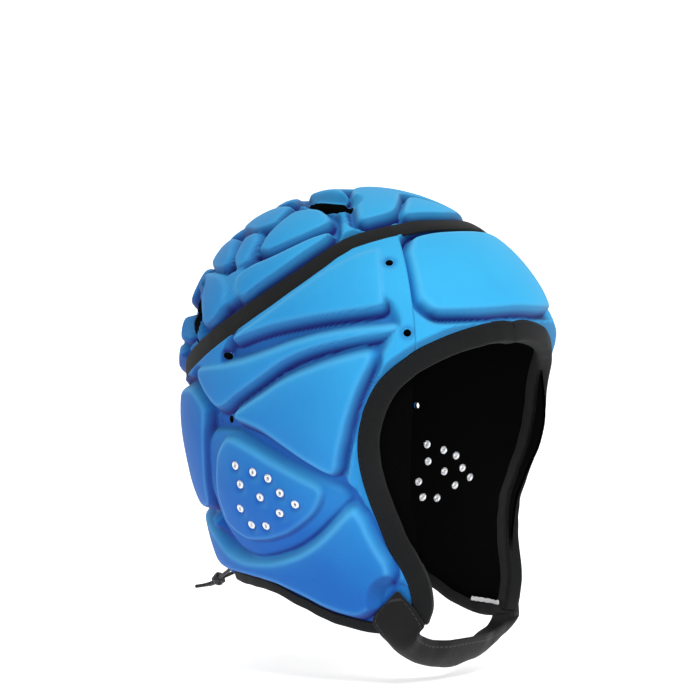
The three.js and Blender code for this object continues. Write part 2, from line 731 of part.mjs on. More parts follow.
// A strip that follows a line of spots: its section holds distances from the line, to the left of
// the way it runs, and heights over the form
function ribbon(spots, section) {
  const last = spots.length - 1;
  const rings = spots.map((spot, i) => {
    const way = spots[Math.min(i + 1, last)].clone().sub(spots[Math.max(i - 1, 0)]);
    const { sideways, forward, normal } = surface(spot);
    const along = sideways.clone().multiplyScalar(way.x).addScaledVector(forward, way.y).normalize();
    const left = new THREE.Vector3().crossVectors(normal, along);
    return section.map(({ out, height }) => lift(slide(spot, left.clone().multiplyScalar(out)), height));
  });
  return loft(rings, outlineCaps(section.map(({ out, height }) => new THREE.Vector2(out, height))));
}

// A tape folded over a cut edge that lies to its left, in a U
function foldedTape(width) {
  const edge = TAPE_GAP + TAPE;
  const outerFace = PANEL_OUTSIDE + TAPE_GAP;
  return [
    { out: edge, height: outerFace + TAPE },
    { out: -width, height: outerFace + TAPE },
    { out: -width, height: outerFace },
    { out: TAPE_GAP, height: outerFace },
    { out: TAPE_GAP, height: -TAPE_INNER_GAP },
    { out: -width, height: -TAPE_INNER_GAP },
    { out: -width, height: -TAPE_INNER_GAP - TAPE },
    { out: edge, height: -TAPE_INNER_GAP - TAPE },
  ];
}

const faceBinding = () => ribbon(faceLine(), foldedTape(FACE_TAPE_WIDTH - TAPE));

// The hem is straight between the corners of the layers' net
function hemSpot(turn) {
  const step = 360 / TURNS;
  const k = Math.floor(turn / step);
  return spotAt(turn, THREE.MathUtils.lerp(hemDrop(k * step), hemDrop((k + 1) * step), turn / step - k));
}

function hemBinding(hand) {
  const step = 360 / TURNS;
  const turns = [HEM_TAPE_START];
  for (let k = Math.ceil(HEM_TAPE_START / step); k * step < HEM_TAPE_END; k += 1) {
    turns.push(k * step);
  }
  turns.push(HEM_TAPE_END);
  const line = turns.map(hemSpot).map((spot) => new THREE.Vector2(hand * spot.x, spot.y));
  return ribbon(hand > 0 ? line : line.reverse(), foldedTape(HEM_TAPE_WIDTH - TAPE));
}

function crownBand() {
  const steps = 44;
  const line = [];
  for (let i = 0; i <= steps; i += 1) {
    const turn = THREE.MathUtils.lerp(-BAND_END, BAND_END, i / steps);
    line.push(spotAt(turn, bandDrop(turn)));
  }
  const under = PANEL_OUTSIDE + TAPE_GAP;
  return ribbon(line, [
    { out: BAND_WIDTH / 2, height: under + BAND },
    { out: -BAND_WIDTH / 2, height: under + BAND },
    { out: -BAND_WIDTH / 2, height: under },
    { out: BAND_WIDTH / 2, height: under },
  ]);
}

// One edge of the strap as points from the right flap to the left one
function strapRail(name) {
  const height = PANEL_OUTSIDE + STRAP_GAP + STRAP / 2;
  const free = STRAP_ROWS.map((row) => {
    const [ahead, down] = row[name];
    return new THREE.Vector3(
      (-row.side * HEAD_WIDTH) / 2, (-ahead * HEAD_LENGTH) / 2, -down * CHIN_DEPTH);
  });
  const sewn = STRAP_END.map((row) => lift(spotAt(...row[name]), height));
  const half = [...free, ...sewn];
  const other = half.slice(1).map((point) => new THREE.Vector3(-point.x, point.y, point.z));
  return new THREE.CatmullRomCurve3([...half.reverse(), ...other], false, 'centripetal');
}

function chinStrap() {
  const rails = ['front', 'middle', 'rear'].map(strapRail);
  const steps = 2 * (rails[0].points.length - 1);
  const rings = [];
  for (let i = 0; i <= steps; i += 1) {
    const along = rails[1].getTangent(i / steps);
    const points = rails.map((rail) => rail.getPoint(i / steps));
    const across = points[2].clone().sub(points[0]);
    const normal = new THREE.Vector3().crossVectors(along, across).normalize();
    const face = (way) => points.map((point) => point.clone().addScaledVector(normal, (way * STRAP) / 2));
    rings.push([...face(1), ...face(-1).reverse()]);
  }
  return loft(rings, stripCaps(3));
}

// A tube ferrule through the lining and the ear pad, both rims just proud
function eyelet(spot) {
  const rim = 0.5;
  const length = PAD_TOP + 2 * rim;
  const profile = [
    new THREE.Vector2(EYELET_BORE / 2, 0),
    new THREE.Vector2(EYELET_OUTER / 2, 0),
    new THREE.Vector2(EYELET_OUTER / 2, length),
    new THREE.Vector2(EYELET_BORE / 2, length),
    new THREE.Vector2(EYELET_BORE / 2, 0),
  ];
  return solidOf(standOn(new THREE.LatheGeometry(profile, 8), spot, -rim));
}

// The lace: a round section along a line of points
function roundCord(points, steps) {
  const section = new THREE.Shape();
  section.absarc(0, 0, LACE / 2, 0, 2 * Math.PI);
  const path = new THREE.CatmullRomCurve3(points, false, 'centripetal');
  const settings = { steps, extrudePath: path, curveSegments: 4, bevelEnabled: false };
  return new THREE.ExtrudeGeometry(section, settings);
}

function laceSpots(hand) {
  const inset = THREE.MathUtils.radToDeg((2 * LACE_HOLE_INSET) / HEAD_LENGTH);
  return LACE_ROWS.map((drop) => spotAt(hand * (SLIT_TURN - inset), drop));
}

function laceBar(from, to, rise) {
  const resting = PANEL_OUTSIDE + LACE / 2 + TAPE_GAP;
  const stops = [
    { share: 0, height: PANEL_INSIDE + LACE / 2 },
    { share: 0.01, height: resting },
    { share: 0.2, height: resting + 0.3 },
    { share: 0.5, height: resting + rise },
    { share: 0.8, height: resting + 0.3 },
    { share: 0.99, height: resting },
    { share: 1, height: PANEL_INSIDE + LACE / 2 },
  ];
  const points = stops.map(({ share, height }) => lift(from.clone().lerp(to, share), height));
  return solidOf(roundCord(points, 8));
}

function napeLace() {
  const [right, left] = BOTH.map(laceSpots);
  const bars = [laceBar(right[0], left[0], 0.3)];
  for (let k = 0; k < LACE_ROWS.length - 2; k += 1) {
    bars.push(laceBar(right[k], left[k + 1], 0.3), laceBar(left[k], right[k + 1], 0.3 + 0.8 * LACE));
  }
  return bars.reduce((all, bar) => all.add(bar));
}

const toPoints = (rows, hand) => rows.map(([x, y, z]) => new THREE.Vector3(-hand * x, y, z));

const LOOKS = {
  blue: { color: '#2b8fdc', roughness: 0.75, metalness: 0 },
  black: { color: '#1b1b1c', roughness: 0.9, metalness: 0 },
  strap: { color: '#333334', roughness: 0.85, metalness: 0 },
  silver: { color: '#c9ccd2', roughness: 0.3, metalness: 1 },
};

const cap = new THREE.Group();

function addPiece(name, geometry, look) {
  const mesh = new THREE.Mesh(geometry, new THREE.MeshStandardMaterial(LOOKS[look]));
  mesh.name = name;
  cap.add(mesh);
}

function addSolid(name, solid, look) {
  const { vertProperties, triVerts } = solid.getMesh();
  const geometry = new THREE.BufferGeometry();
  geometry.setAttribute('position', new THREE.BufferAttribute(vertProperties, 3));
  geometry.setIndex(new THREE.BufferAttribute(triVerts, 1));
  addPiece(name, geometry, look);
}

addSolid('lining', lining(), 'black');
addSolid('crown_panel', crownPanel(), 'blue');
addSolid('forehead_panel', foreheadPanel(), 'blue');
addSolid('crown_band', crownBand(), 'black');
addSolid('face_binding', faceBinding(), 'black');
addSolid('chin_strap', chinStrap(), 'strap');
addSolid('nape_lace', napeLace(), 'black');

for (const { name, hand } of HANDS) {
  addSolid(`side_panel_${name}`, sidePanel(hand), 'blue');
  addSolid(`hem_binding_${name}`, hemBinding(hand), 'black');
  handed(EAR_HOLES, hand).forEach((spot, k) => {
    addSolid(`ear_eyelet_${name}_${String(k + 1).padStart(2, '0')}`, eyelet(spot), 'silver');
  });
  addPiece(`lace_strand_${name}`, roundCord(toPoints(STRAND_POINTS, hand), 8), 'black');
  addPiece(`lace_tail_${name}`, roundCord(toPoints(TAIL_POINTS, hand), 3), 'black');
}

const knot = new THREE.SphereGeometry(KNOT / 2, 8, 6);
knot.scale(0.9, 0.85, 1);
knot.translate(...KNOT_AT);
addPiece('lace_knot', knot, 'black');

export default cap;
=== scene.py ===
import math
import bmesh
import bpy
import numpy as np
from mathutils import Matrix, Vector


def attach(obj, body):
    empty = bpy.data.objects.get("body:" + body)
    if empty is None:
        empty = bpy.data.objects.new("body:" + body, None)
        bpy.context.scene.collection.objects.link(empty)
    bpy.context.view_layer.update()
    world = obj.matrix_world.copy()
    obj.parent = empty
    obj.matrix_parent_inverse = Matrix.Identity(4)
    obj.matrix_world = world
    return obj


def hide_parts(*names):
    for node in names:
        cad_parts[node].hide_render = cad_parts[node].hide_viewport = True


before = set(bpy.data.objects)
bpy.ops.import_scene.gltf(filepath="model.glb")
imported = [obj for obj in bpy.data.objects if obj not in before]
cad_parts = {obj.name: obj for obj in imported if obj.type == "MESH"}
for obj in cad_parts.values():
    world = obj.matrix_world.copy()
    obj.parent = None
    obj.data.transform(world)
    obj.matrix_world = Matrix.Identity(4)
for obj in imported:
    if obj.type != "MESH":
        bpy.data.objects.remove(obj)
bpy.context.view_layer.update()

# Camera: the cap is seen from the wearer's right front, a little above the brow, with a long lens
# from 1.6 m. The shift puts the middle of the head where the photograph has it.
azimuth, elevation, away = math.radians(-50), math.radians(2.5), 1.6
towards = Vector((math.sin(azimuth) * math.cos(elevation), -math.cos(azimuth) * math.cos(elevation),
                  math.sin(elevation)))
camera = bpy.data.objects.new("camera", bpy.data.cameras.new("camera"))
bpy.context.scene.collection.objects.link(camera)
camera.location = towards * away
camera.rotation_euler = towards.to_track_quat("Z", "Y").to_euler()
camera.data.sensor_width = 36
camera.data.lens = 144
camera.data.shift_x = -15 / 700
camera.data.shift_y = 10 / 700
bpy.context.scene.camera = camera


# Lace ends: round braided polyester cord, 2.2 mm thick. Each comes out of its lowest lace hole, hangs
# past the hem to the knot and ends in a short cut tail.
def srgb(red, green, blue):
    def linear(value):
        value /= 255
        return value / 12.92 if value <= 0.04045 else ((value + 0.055) / 1.055) ** 2.4
    return linear(red), linear(green), linear(blue), 1.0


class Value:
    """A socket that takes part in plain arithmetic, adding its Math nodes as it goes."""

    def __init__(self, finish, socket):
        self.finish, self.socket = finish, socket

    def maths(self, operation, *others):
        sockets = {0: self}
        sockets.update({k + 1: other for k, other in enumerate(others)})
        return self.finish.node("ShaderNodeMath", {"operation": operation}, sockets)

    def __add__(self, other): return self.maths("ADD", other)
    def __radd__(self, other): return self.maths("ADD", other)
    def __mul__(self, other): return self.maths("MULTIPLY", other)
    def __sub__(self, other): return self.maths("SUBTRACT", other)
    def __rsub__(self, other): return (self * -1) + other
    def __truediv__(self, other): return self.maths("DIVIDE", other)
    def __pow__(self, other): return self.maths("POWER", other)


class Finish:
    """One material: its shader, and methods that add and link its other nodes."""

    def __init__(self, name, **constants):
        self.material = bpy.data.materials.new(name)
        self.material.use_nodes = True
        self.tree = self.material.node_tree
        self.shader = self.tree.nodes["Principled BSDF"]
        for socket, value in constants.items():
            self.shader.inputs[socket.replace("_", " ")].default_value = value

    def node(self, kind, settings=None, sockets=None, out=0):
        added = self.tree.nodes.new(kind)
        for name, value in (settings or {}).items():
            setattr(added, name, value)
        for key, value in (sockets or {}).items():
            if isinstance(value, Value):
                self.tree.links.new(value.socket, added.inputs[key])
            else:
                added.inputs[key].default_value = value
        return Value(self, added.outputs[out])

    def cloth(self):
        """Millimetres along and across the piece, or round and down the head."""
        return self.node("ShaderNodeUVMap", {"uv_map": "cloth"})

    def in_object(self):
        return self.node("ShaderNodeTexCoord", out=3)

    def kept(self, name):
        """A value that the mesh keeps for each point."""
        return self.node("ShaderNodeAttribute", {"attribute_name": name}, out=2)

    def axes(self, place):
        split = self.tree.nodes.new("ShaderNodeSeparateXYZ")
        self.tree.links.new(place.socket, split.inputs[0])
        return [Value(self, output) for output in split.outputs]

    def noise(self, place, scale, detail=3.0):
        return self.node("ShaderNodeTexNoise", {}, {"Vector": place, "Scale": scale, "Detail": detail,
                                                    "Roughness": 0.6})

    def between(self, mask, low, high):
        return self.node("ShaderNodeMix", {"data_type": "RGBA"}, {0: mask, 6: low, 7: high}, out=2)

    def clamp(self, value):
        return self.node("ShaderNodeClamp", {}, {"Value": value})

    def wire(self, bump_height, distance, strength, **links):
        for socket, value in links.items():
            self.tree.links.new(value.socket, self.shader.inputs[socket.replace("_", " ")])
        relief = self.node("ShaderNodeBump", {}, {"Height": bump_height, "Distance": distance,
                                                  "Strength": strength})
        self.tree.links.new(relief.socket, self.shader.inputs["Normal"])
        return self.material


full_turn = 6.2832
lace_radius = 0.0011


def braid_finish():
    finish = Finish("black_braid", Specular_IOR_Level=0.3, Sheen_Weight=0.25, Sheen_Roughness=0.5)
    cloth = finish.cloth()
    along, around, _ = finish.axes(cloth)
    one = (along * 2.9 + around * full_turn).maths("SINE")
    two = (along * 2.9 - around * full_turn).maths("SINE")
    weave = one.maths("MAXIMUM", two) * 0.5 + 0.5
    fuzz = finish.noise(cloth, 6.0)
    # Painted shade: the cord is darker in the hollows between its strands and paler on them.
    shade = finish.between(weave, srgb(16, 16, 17), srgb(52, 52, 54))
    return finish.wire(weave + fuzz * 0.4, 0.00025, 0.8, Base_Color=shade, Roughness=fuzz * 0.2 + 0.7)


def made(name, bm, material=None, smooth=True):
    """An object from a bmesh, which is freed."""
    mesh = bpy.data.meshes.new(name)
    bm.to_mesh(mesh)
    bm.free()
    if smooth:
        mesh.shade_smooth()
    if material:
        mesh.materials.append(material)
    piece = bpy.data.objects.new(name, mesh)
    bpy.context.scene.collection.objects.link(piece)
    return piece


def unrolled(name, columns, rows, place, material, layers=1, joined=""):
    """A grid laid on a surface: place turns shares across and along, and the layer, into points in
    metres, a cloth map in millimetres and any named values. Two layers make a closed wall, but for
    the borders named in joined, u for both side borders and v for the first row: they close up."""
    bm = bmesh.new()
    bmesh.ops.create_grid(bm, x_segments=columns, y_segments=rows, size=0.5)
    if layers == 2:
        for face in bmesh.ops.extrude_face_region(bm, geom=bm.faces[:], use_keep_orig=True)["geom"]:
            if isinstance(face, bmesh.types.BMVert):
                face.co.z = 1
        ends = {"u": lambda co: abs(abs(co.x) - 0.5) < 1e-5, "v": lambda co: co.y < -0.5 + 1e-5}
        walls = [f for f in bm.faces if any(
            all(ends[key](v.co) for v in f.verts) and len({round(v.co.z) for v in f.verts}) == 2
            and (key == "v" or len({round(v.co.x) for v in f.verts}) == 1) for key in joined)]
        bmesh.ops.delete(bm, geom=walls, context="FACES_ONLY")
    flat = bpy.data.meshes.new(name + "_flat")
    bm.to_mesh(flat)
    bm.free()
    count = len(flat.vertices)
    spots = np.empty(count * 3)
    flat.vertices.foreach_get("co", spots)
    spots = spots.reshape(-1, 3)
    points, cloth, values = place(spots[:, 0] + 0.5, spots[:, 1] + 0.5, spots[:, 2] > 0.5)
    flat.vertices.foreach_set("co", np.ascontiguousarray(points, dtype=np.float32).ravel())
    corners = np.empty(len(flat.loops), dtype=np.int32)
    flat.loops.foreach_get("vertex_index", corners)
    flat.uv_layers.new(name="cloth").data.foreach_set("uv", cloth[corners].astype(np.float32).ravel())
    for key, amounts in values.items():
        flat.attributes.new(key, "FLOAT", "POINT").data.foreach_set("value", amounts.astype(np.float32))
    bm = bmesh.new()
    bm.from_mesh(flat)
    bpy.data.meshes.remove(flat)
    bmesh.ops.remove_doubles(bm, verts=bm.verts[:], dist=2e-6)
    bmesh.ops.dissolve_degenerate(bm, edges=bm.edges[:], dist=1e-7)
    rim = [edge for edge in bm.edges if edge.is_boundary]
    if rim:
        caps = bmesh.ops.holes_fill(bm, edges=rim, sides=0)["faces"]
        bmesh.ops.triangulate(bm, faces=caps)
    bmesh.ops.recalc_face_normals(bm, faces=bm.faces[:])
    return made(name, bm, material)


def travelled(points):
    """The way from the first of some points to each of them."""
    return np.concatenate([[0], np.cumsum(np.linalg.norm(np.diff(points, axis=0), axis=1))])


def smooth_line(points, count):
    """Evenly spaced points on a soft curve through some points, and its length."""
    points = np.array(points, dtype=float)
    padded = np.vstack([2 * points[0] - points[1], points, 2 * points[-1] - points[-2]])
    line = []
    for k in range(len(points) - 1):
        a, b, c, d = padded[k:k + 4]
        t = np.linspace(0, 1, 24, endpoint=False)[:, None]
        line.append(0.5 * (2 * b + (c - a) * t + (2 * a - 5 * b + 4 * c - d) * t ** 2
                           + (3 * b - a - 3 * c + d) * t ** 3))
    line = np.vstack(line + [points[-1:]])
    walked = travelled(line)
    at = np.linspace(0, walked[-1], count)
    return np.stack([np.interp(at, walked, line[:, k]) for k in range(line.shape[1])], axis=1), walked[-1]


def round_cord(name, points, radius, material, steps):
    """A closed round cord along a soft curve, with its cut ends drawn in, and its length."""
    centre, length = smooth_line(points, steps + 1)
    way = np.gradient(centre, axis=0)
    way /= np.linalg.norm(way, axis=1, keepdims=True)
    side = np.cross(way[0], [0.3, 0.2, 0.93])
    sides = []
    for step in way:
        side = side - step * np.dot(side, step)
        side /= np.linalg.norm(side)
        sides.append(side)
    sides = np.array(sides)
    other = np.cross(way, sides)

    def place(u, v, layer):
        k = np.clip(u * (steps + 2) - 1, 0, steps)
        low = np.floor(k).astype(int)
        angle = 2 * np.pi * v
        width = radius * np.where((u * (steps + 2) < 0.5) | (u * (steps + 2) > steps + 1.5), 0.02, 1.0)
        ring = sides[low] * np.cos(angle)[:, None] + other[low] * np.sin(angle)[:, None]
        cloth = np.stack([k / steps * length * 1000, v], axis=1)
        return centre[low] + ring * width[:, None], cloth, {}
    return unrolled(name, steps + 2, 12, place, material), length


braid = braid_finish()
strand_points = [(8.45, 87.4, -109.3), (8.8, 90.2, -110.6), (8.9, 92, -114), (8.5, 93.4, -119.5),
                 (6.6, 98.5, -126.3), (1.85, 111.85, -133.2)]
through_knot = [(0.9, 114.4, -134.6)]
tail_points = [(1.6, 117, -136.4), (3.2, 123, -138.6), (4.4, 130, -140)]
knot_centre = np.array([0, 114.5, -134.5]) / 1000
lace_ends = {}
for side, hand in (("right", -1), ("left", 1)):
    points = np.array([(hand * x, y, z) for x, y, z in strand_points + through_knot + tail_points]) / 1000
    cord, length = round_cord("lace_end_" + side, points, lace_radius, braid, 70)
    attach(cord, "root")
    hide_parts("lace_strand_" + side, "lace_tail_" + side)
    path, _ = smooth_line(points, 40)
    lace_ends[side] = (cord, points[0], length, path)

# Lace knot: both ends of the braided cord are tied together in one overhand knot, a lump about 9 mm
# across. It is made of three turns of cord round one centre.
knot_loops, knot_radius = [], 0.0013
for k, (tilt, roll, size) in enumerate(((0.3, 0.0, 3.2), (1.4, 0.9, 3.0), (-0.9, 1.9, 2.7))):
    t = np.linspace(0.1, 2 * np.pi - 0.15, 14)
    loop = np.stack([size * np.cos(t), size * 0.85 * np.sin(t), 0.7 * np.sin(2 * t + k)], axis=1)
    lean = np.array([[1, 0, 0], [0, math.cos(tilt), -math.sin(tilt)], [0, math.sin(tilt), math.cos(tilt)]])
    spin = np.array([[math.cos(roll), 0, math.sin(roll)], [0, 1, 0], [-math.sin(roll), 0, math.cos(roll)]])
    loop_points = (spin @ lean @ loop.T).T / 1000 + knot_centre
    strand, _ = round_cord("lace_knot_turn_%d" % (k + 1), loop_points, knot_radius, braid, 40)
    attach(strand, "root")
    knot_loops.append(strand)
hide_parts("lace_knot")
for side in ("right", "left"):
    cord, start, length, path = lace_ends[side]
    knot_loops if side == "right" else ()


# Lining: thin black jersey over the whole inside, 1.3 mm thick, glued to the foam and punched with the
# same holes. Its shape is the head's own: a dome down to the brow, and rings below that.
head_width, head_length, crown_height, flap_depth = 162.0, 206.0, 86.0, 156.0
quarter_arc = math.pi / 4 * (head_length / 2 + crown_height)
seam_gap = 0.3 / quarter_arc
lining_wall, layer_gap, base_foam, pad_rise = 1.3, 1.0, 3.0, 7.2
panel_inside = lining_wall + layer_gap
panel_outside = panel_inside + base_foam
pad_top = panel_outside + pad_rise
ear_ring_top = panel_outside + 3.6
mid_foam, cut_from, cut_to = 9.0, -8.0, 24.0
neck = {"down": (0, 0.2, 0.4, 0.6, 0.8, 1.0), "width": (1, 1, 0.95, 0.82, 0.7, 0.6),
        "front": (1, 0.99, 0.97, 0.98, 1.02, 1.06), "back": (1, 0.985, 0.93, 0.84, 0.77, 0.72)}
temples = {"drop": (0.1, 0.4, 0.6, 0.8, 1.0, 1.2, 1.3, 1.42, 1.52, 1.65, 1.8, 1.95),
           "out": (0, 0.8, 2.6, 4, 5.6, 8.6, 7, 0.5, -3, -3, -2, -2)}
band_line = [(0, 0.415), (20, 0.418), (40, 0.447), (60, 0.508), (80, 0.677), (100, 0.838), (120, 0.966),
             (132, 1.026), (144, 1.09), (160, 1.12), (180, 1.13)]
face_edge = [(0, 0.9), (16.6, 0.908), (30, 0.948), (40.8, 1.012), (48.4, 1.1), (51.9, 1.215),
             (52.1, 1.314), (50.4, 1.426), (47.2, 1.586), (43.9, 1.671), (41.8, 1.759), (42.4, 1.84),
             (45.2, 1.895)]
tip_turn, hem_tape_end = 45.2, 131
hem_edge = [(45.2, 1.895), (62, 1.925), (76, 1.9), (87, 1.852), (100, 1.806), (112, 1.795), (130, 1.79),
            (142, 1.765), (160, 1.757), (180, 1.755)]


def steady(x, y, at):
    """Smooth values through a table, without overshoot."""
    x, y = np.asarray(x, float), np.asarray(y, float)
    slope = np.diff(y) / np.diff(x)
    tangent = np.concatenate([[slope[0]], np.zeros(len(x) - 2), [slope[-1]]])
    same = slope[:-1] * slope[1:] > 0
    total = np.where(same, slope[:-1] + slope[1:], 1)
    tangent[1:-1] = np.where(same, 2 * slope[:-1] * slope[1:] / total, 0)
    at = np.clip(at, x[0], x[-1])
    k = np.clip(np.searchsorted(x, at) - 1, 0, len(x) - 2)
    span = x[k + 1] - x[k]
    t = (at - x[k]) / span
    return ((1 - t) ** 2 * ((1 + 2 * t) * y[k] + t * span * tangent[k])
            + t ** 2 * ((3 - 2 * t) * y[k + 1] - (1 - t) * span * tangent[k + 1]))


def along_table(rows, turn):
    turn = np.abs(turn)
    turn = np.where(turn > 180, 360 - turn, turn)
    x, y = zip(*rows)
    return steady(x, y, turn)


def spot_at(turn, drop):
    angle = np.radians(turn)
    return np.stack(np.broadcast_arrays(drop * np.sin(angle), drop * np.cos(angle)), axis=-1)


def turn_and_drop(spots):
    return np.degrees(np.arctan2(spots[:, 0], spots[:, 1])), np.hypot(spots[:, 0], spots[:, 1])


def form(spots):
    """Points of the bare head form, in metres. A spot is a place on it seen from above, unrolled: its
    angle is the turn from the brow to the wearer's right, its length the drop from the top."""
    side, ahead = spots[..., 0], spots[..., 1]
    drop, turn = np.hypot(side, ahead), np.arctan2(side, ahead)
    over = np.minimum(drop, 1) * np.pi / 2
    down = np.maximum(drop - 1, 0)
    full = np.sin(over) ** (1.02 + 0.1 * np.cos(turn))
    across = head_width / 2 * full * steady(neck["down"], neck["width"], down)
    half = np.where(np.cos(turn) > 0, steady(neck["down"], neck["front"], down),
                    steady(neck["down"], neck["back"], down))
    along = head_length / 2 * full * half
    up = crown_height * np.cos(over) - flap_depth * down
    corner = np.where(np.cos(turn) > 0, np.sin(2 * turn) ** 2, 0)
    out = corner * steady(temples["drop"], temples["out"], drop)
    across, along = across + out, along + out
    return np.stack([-across * np.sin(turn), -along * np.cos(turn), up], axis=-1) / 1000


def normals(spots):
    step = 0.01
    shift_side, shift_ahead = np.array([step, 0]), np.array([0, step])
    sideways = form(spots + shift_side) - form(spots - shift_side)
    forward = form(spots + shift_ahead) - form(spots - shift_ahead)
    normal = np.cross(sideways, forward)
    return normal / np.linalg.norm(normal, axis=-1, keepdims=True)


def lifted(spots, height):
    """Points at a height in millimetres over the form."""
    return form(spots) + normals(spots) * (np.asarray(height) / 1000)[..., None]


def face_line(hand, count):
    """The face edge of one side, brow to flap tip, as spots."""
    line, _ = smooth_line(spot_at(hand * np.array(face_edge)[:, 0], np.array(face_edge)[:, 1]), count)
    return line


def cloth_map(spots):
    """Rough millimetres round and down the head, for weaves."""
    turn, drop = np.arctan2(spots[:, 0], spots[:, 1]), np.hypot(spots[:, 0], spots[:, 1])
    return np.stack([turn * 90 * np.minimum(1, np.sin(np.minimum(drop, 1) * np.pi / 2)), drop * 150], axis=1)


def punch(piece, cutters, wall=None):
    """Cuts holes that go right through, with walls of the same or another material."""
    bpy.context.view_layer.update()
    bm = bmesh.new()
    for cutter in cutters:
        bm.from_mesh(cutter.data)
        bpy.data.objects.remove(cutter)
    tool = made("punches", bm, wall, smooth=False)
    cut = piece.modifiers.new("punch", "BOOLEAN")
    cut.material_mode = "TRANSFER" if wall else "INDEX"
    cut.operation, cut.object, cut.solver = "DIFFERENCE", tool, "MANIFOLD"
    bpy.context.view_layer.update()
    done = bpy.data.meshes.new_from_object(piece.evaluated_get(bpy.context.evaluated_depsgraph_get()))
    piece.modifiers.clear()
    old = piece.data
    piece.data = done
    bpy.data.meshes.remove(old)
    bpy.data.objects.remove(tool)


def stood_at(spot, height):
    """A matrix that stands things square to the head at a spot."""
    spot = np.array([spot])
    matrix = Vector(normals(spot)[0]).to_track_quat("Z", "Y").to_matrix().to_4x4()
    matrix.translation = Vector(lifted(spot, height)[0])
    return matrix


def round_punch(spot, radius):
    """A round cutter square to the head at a spot."""
    bm = bmesh.new()
    bmesh.ops.create_cone(bm, cap_ends=True, segments=20, radius1=radius / 1000, radius2=radius / 1000,
                          depth=(cut_to - cut_from) / 1000)
    bmesh.ops.transform(bm, matrix=stood_at(spot, (cut_from + cut_to) / 2), verts=bm.verts[:])
    return made("punch", bm, smooth=False)


def slot_punch(loop):
    """A cutter with any outline, from inside the head to outside it."""
    bm = bmesh.new()
    low, high = lifted(loop, cut_from), lifted(loop, cut_to)
    floor = bm.faces.new([bm.verts.new(p) for p in low])
    top = bmesh.ops.extrude_face_region(bm, geom=[floor], use_keep_orig=True)["geom"]
    lookup = {tuple(round(c, 7) for c in p): q for p, q in zip(low, high)}
    for vert in (g for g in top if isinstance(g, bmesh.types.BMVert)):
        near = min(lookup, key=lambda p: (Vector(p) - vert.co).length)
        vert.co = lookup[near]
    bmesh.ops.triangulate(bm, faces=[f for f in bm.faces if len(f.verts) > 4])
    bmesh.ops.recalc_face_normals(bm, faces=bm.faces[:])
    return made("slot", bm, smooth=False)


top_vent = ("ahead", [(-0.165, 0.112, 0.126), (-0.11, 0.148, 0.21), (-0.05, 0.178, 0.255),
                      (0.01, 0.2, 0.285), (0.065, 0.205, 0.29), (0.105, 0.225, 0.28)])
back_vent = ("turn", [(123.5, 0.905, 0.938), (127, 0.795, 0.92), (130.5, 0.722, 0.895),
                      (137, 0.73, 0.855), (143.5, 0.755, 0.81)])
vent_holes = [(46.5, 0.612), (43, 0.88), (103.5, 0.97), (104.7, 1.197)]
ear_holes = [(99.6, 1.343), (92.4, 1.361), (86.7, 1.379), (98.6, 1.407), (90.9, 1.441), (83.1, 1.423),
             (78.7, 1.455), (84.9, 1.489), (101.4, 1.485), (98.3, 1.541), (91.6, 1.54)]
vent_radius, eyelet_radius = 2.1, 2.1


def outline(table, hand, rounding=8, pitch=0.9):
    """A pad's or vent's border as a closed loop of spots, its corners rounded. Its table has a key,
    turn, side or ahead, and rows with a place along that and the border's two values there."""
    key, rows = table
    rows = np.array(rows)
    at = np.linspace(rows[0, 0], rows[-1, 0], 80)
    first, second = steady(rows[:, 0], rows[:, 1], at), steady(rows[:, 0], rows[:, 2], at)

    def spots(place, value):
        if key == "turn":
            return spot_at(place, value)
        pair = (place, value) if key == "side" else (value, place)
        return np.stack(pair, axis=1)
    loop = np.vstack([spots(at, first), spots(at, second)[::-1]]) * [hand, 1]
    loop = np.vstack([loop, loop[:1]])
    walked = travelled(lifted(loop, mid_foam)) * 1000
    count = max(16, int(walked[-1] / pitch))
    even = np.linspace(0, walked[-1], count, endpoint=False)
    loop = np.stack([np.interp(even, walked, loop[:, k]) for k in (0, 1)], axis=1)
    for _ in range(rounding):
        loop = 0.25 * np.roll(loop, 1, axis=0) + 0.5 * loop + 0.25 * np.roll(loop, -1, axis=0)
    return loop


def vent_loop(table, hand):
    return outline(table, hand, rounding=1, pitch=2.0)


def jersey_finish():
    finish = Finish("black_jersey", Specular_IOR_Level=0.04, Roughness=0.95)
    cloth = finish.cloth()
    knit = finish.node("ShaderNodeTexWave", {"wave_type": "BANDS", "bands_direction": "X"},
                       {"Vector": cloth, "Scale": 0.55, "Distortion": 1.2, "Detail": 1.0}, out=1)
    fuzz = finish.noise(cloth, 2.2)
    shade = finish.between(fuzz, srgb(1, 1, 1), srgb(5, 5, 5))
    return finish.wire(knit * 0.6 + fuzz, 0.0002, 0.25, Base_Color=shade)


jersey = jersey_finish()


def lining_place(u, v, inner):
    """From the brow edge over the crown: the grid runs round the head and down from the top, and its
    lower border is the face edge in front and the hem behind."""
    turn = 360 * u - 180
    top_turn = np.abs(turn)
    share, in_front = np.clip(top_turn / tip_turn, 0, 1), top_turn < tip_turn
    line_turn, line_drop = turn_and_drop(face_line(1, 200))
    measure = np.linspace(0, 1, len(line_turn))
    edge_turn = np.where(in_front, np.interp(share, measure, line_turn), top_turn)
    edge_drop = np.where(in_front, np.interp(share, measure, line_drop), along_table(hem_edge, turn))
    blend = v ** 2 * (3 - 2 * v)
    at_turn = (top_turn + (edge_turn - top_turn) * blend) * np.where(turn < 0, -1, 1)
    spots = spot_at(at_turn, v * edge_drop)
    return lifted(spots, np.where(inner, lining_wall, 0.0)), cloth_map(spots), {}


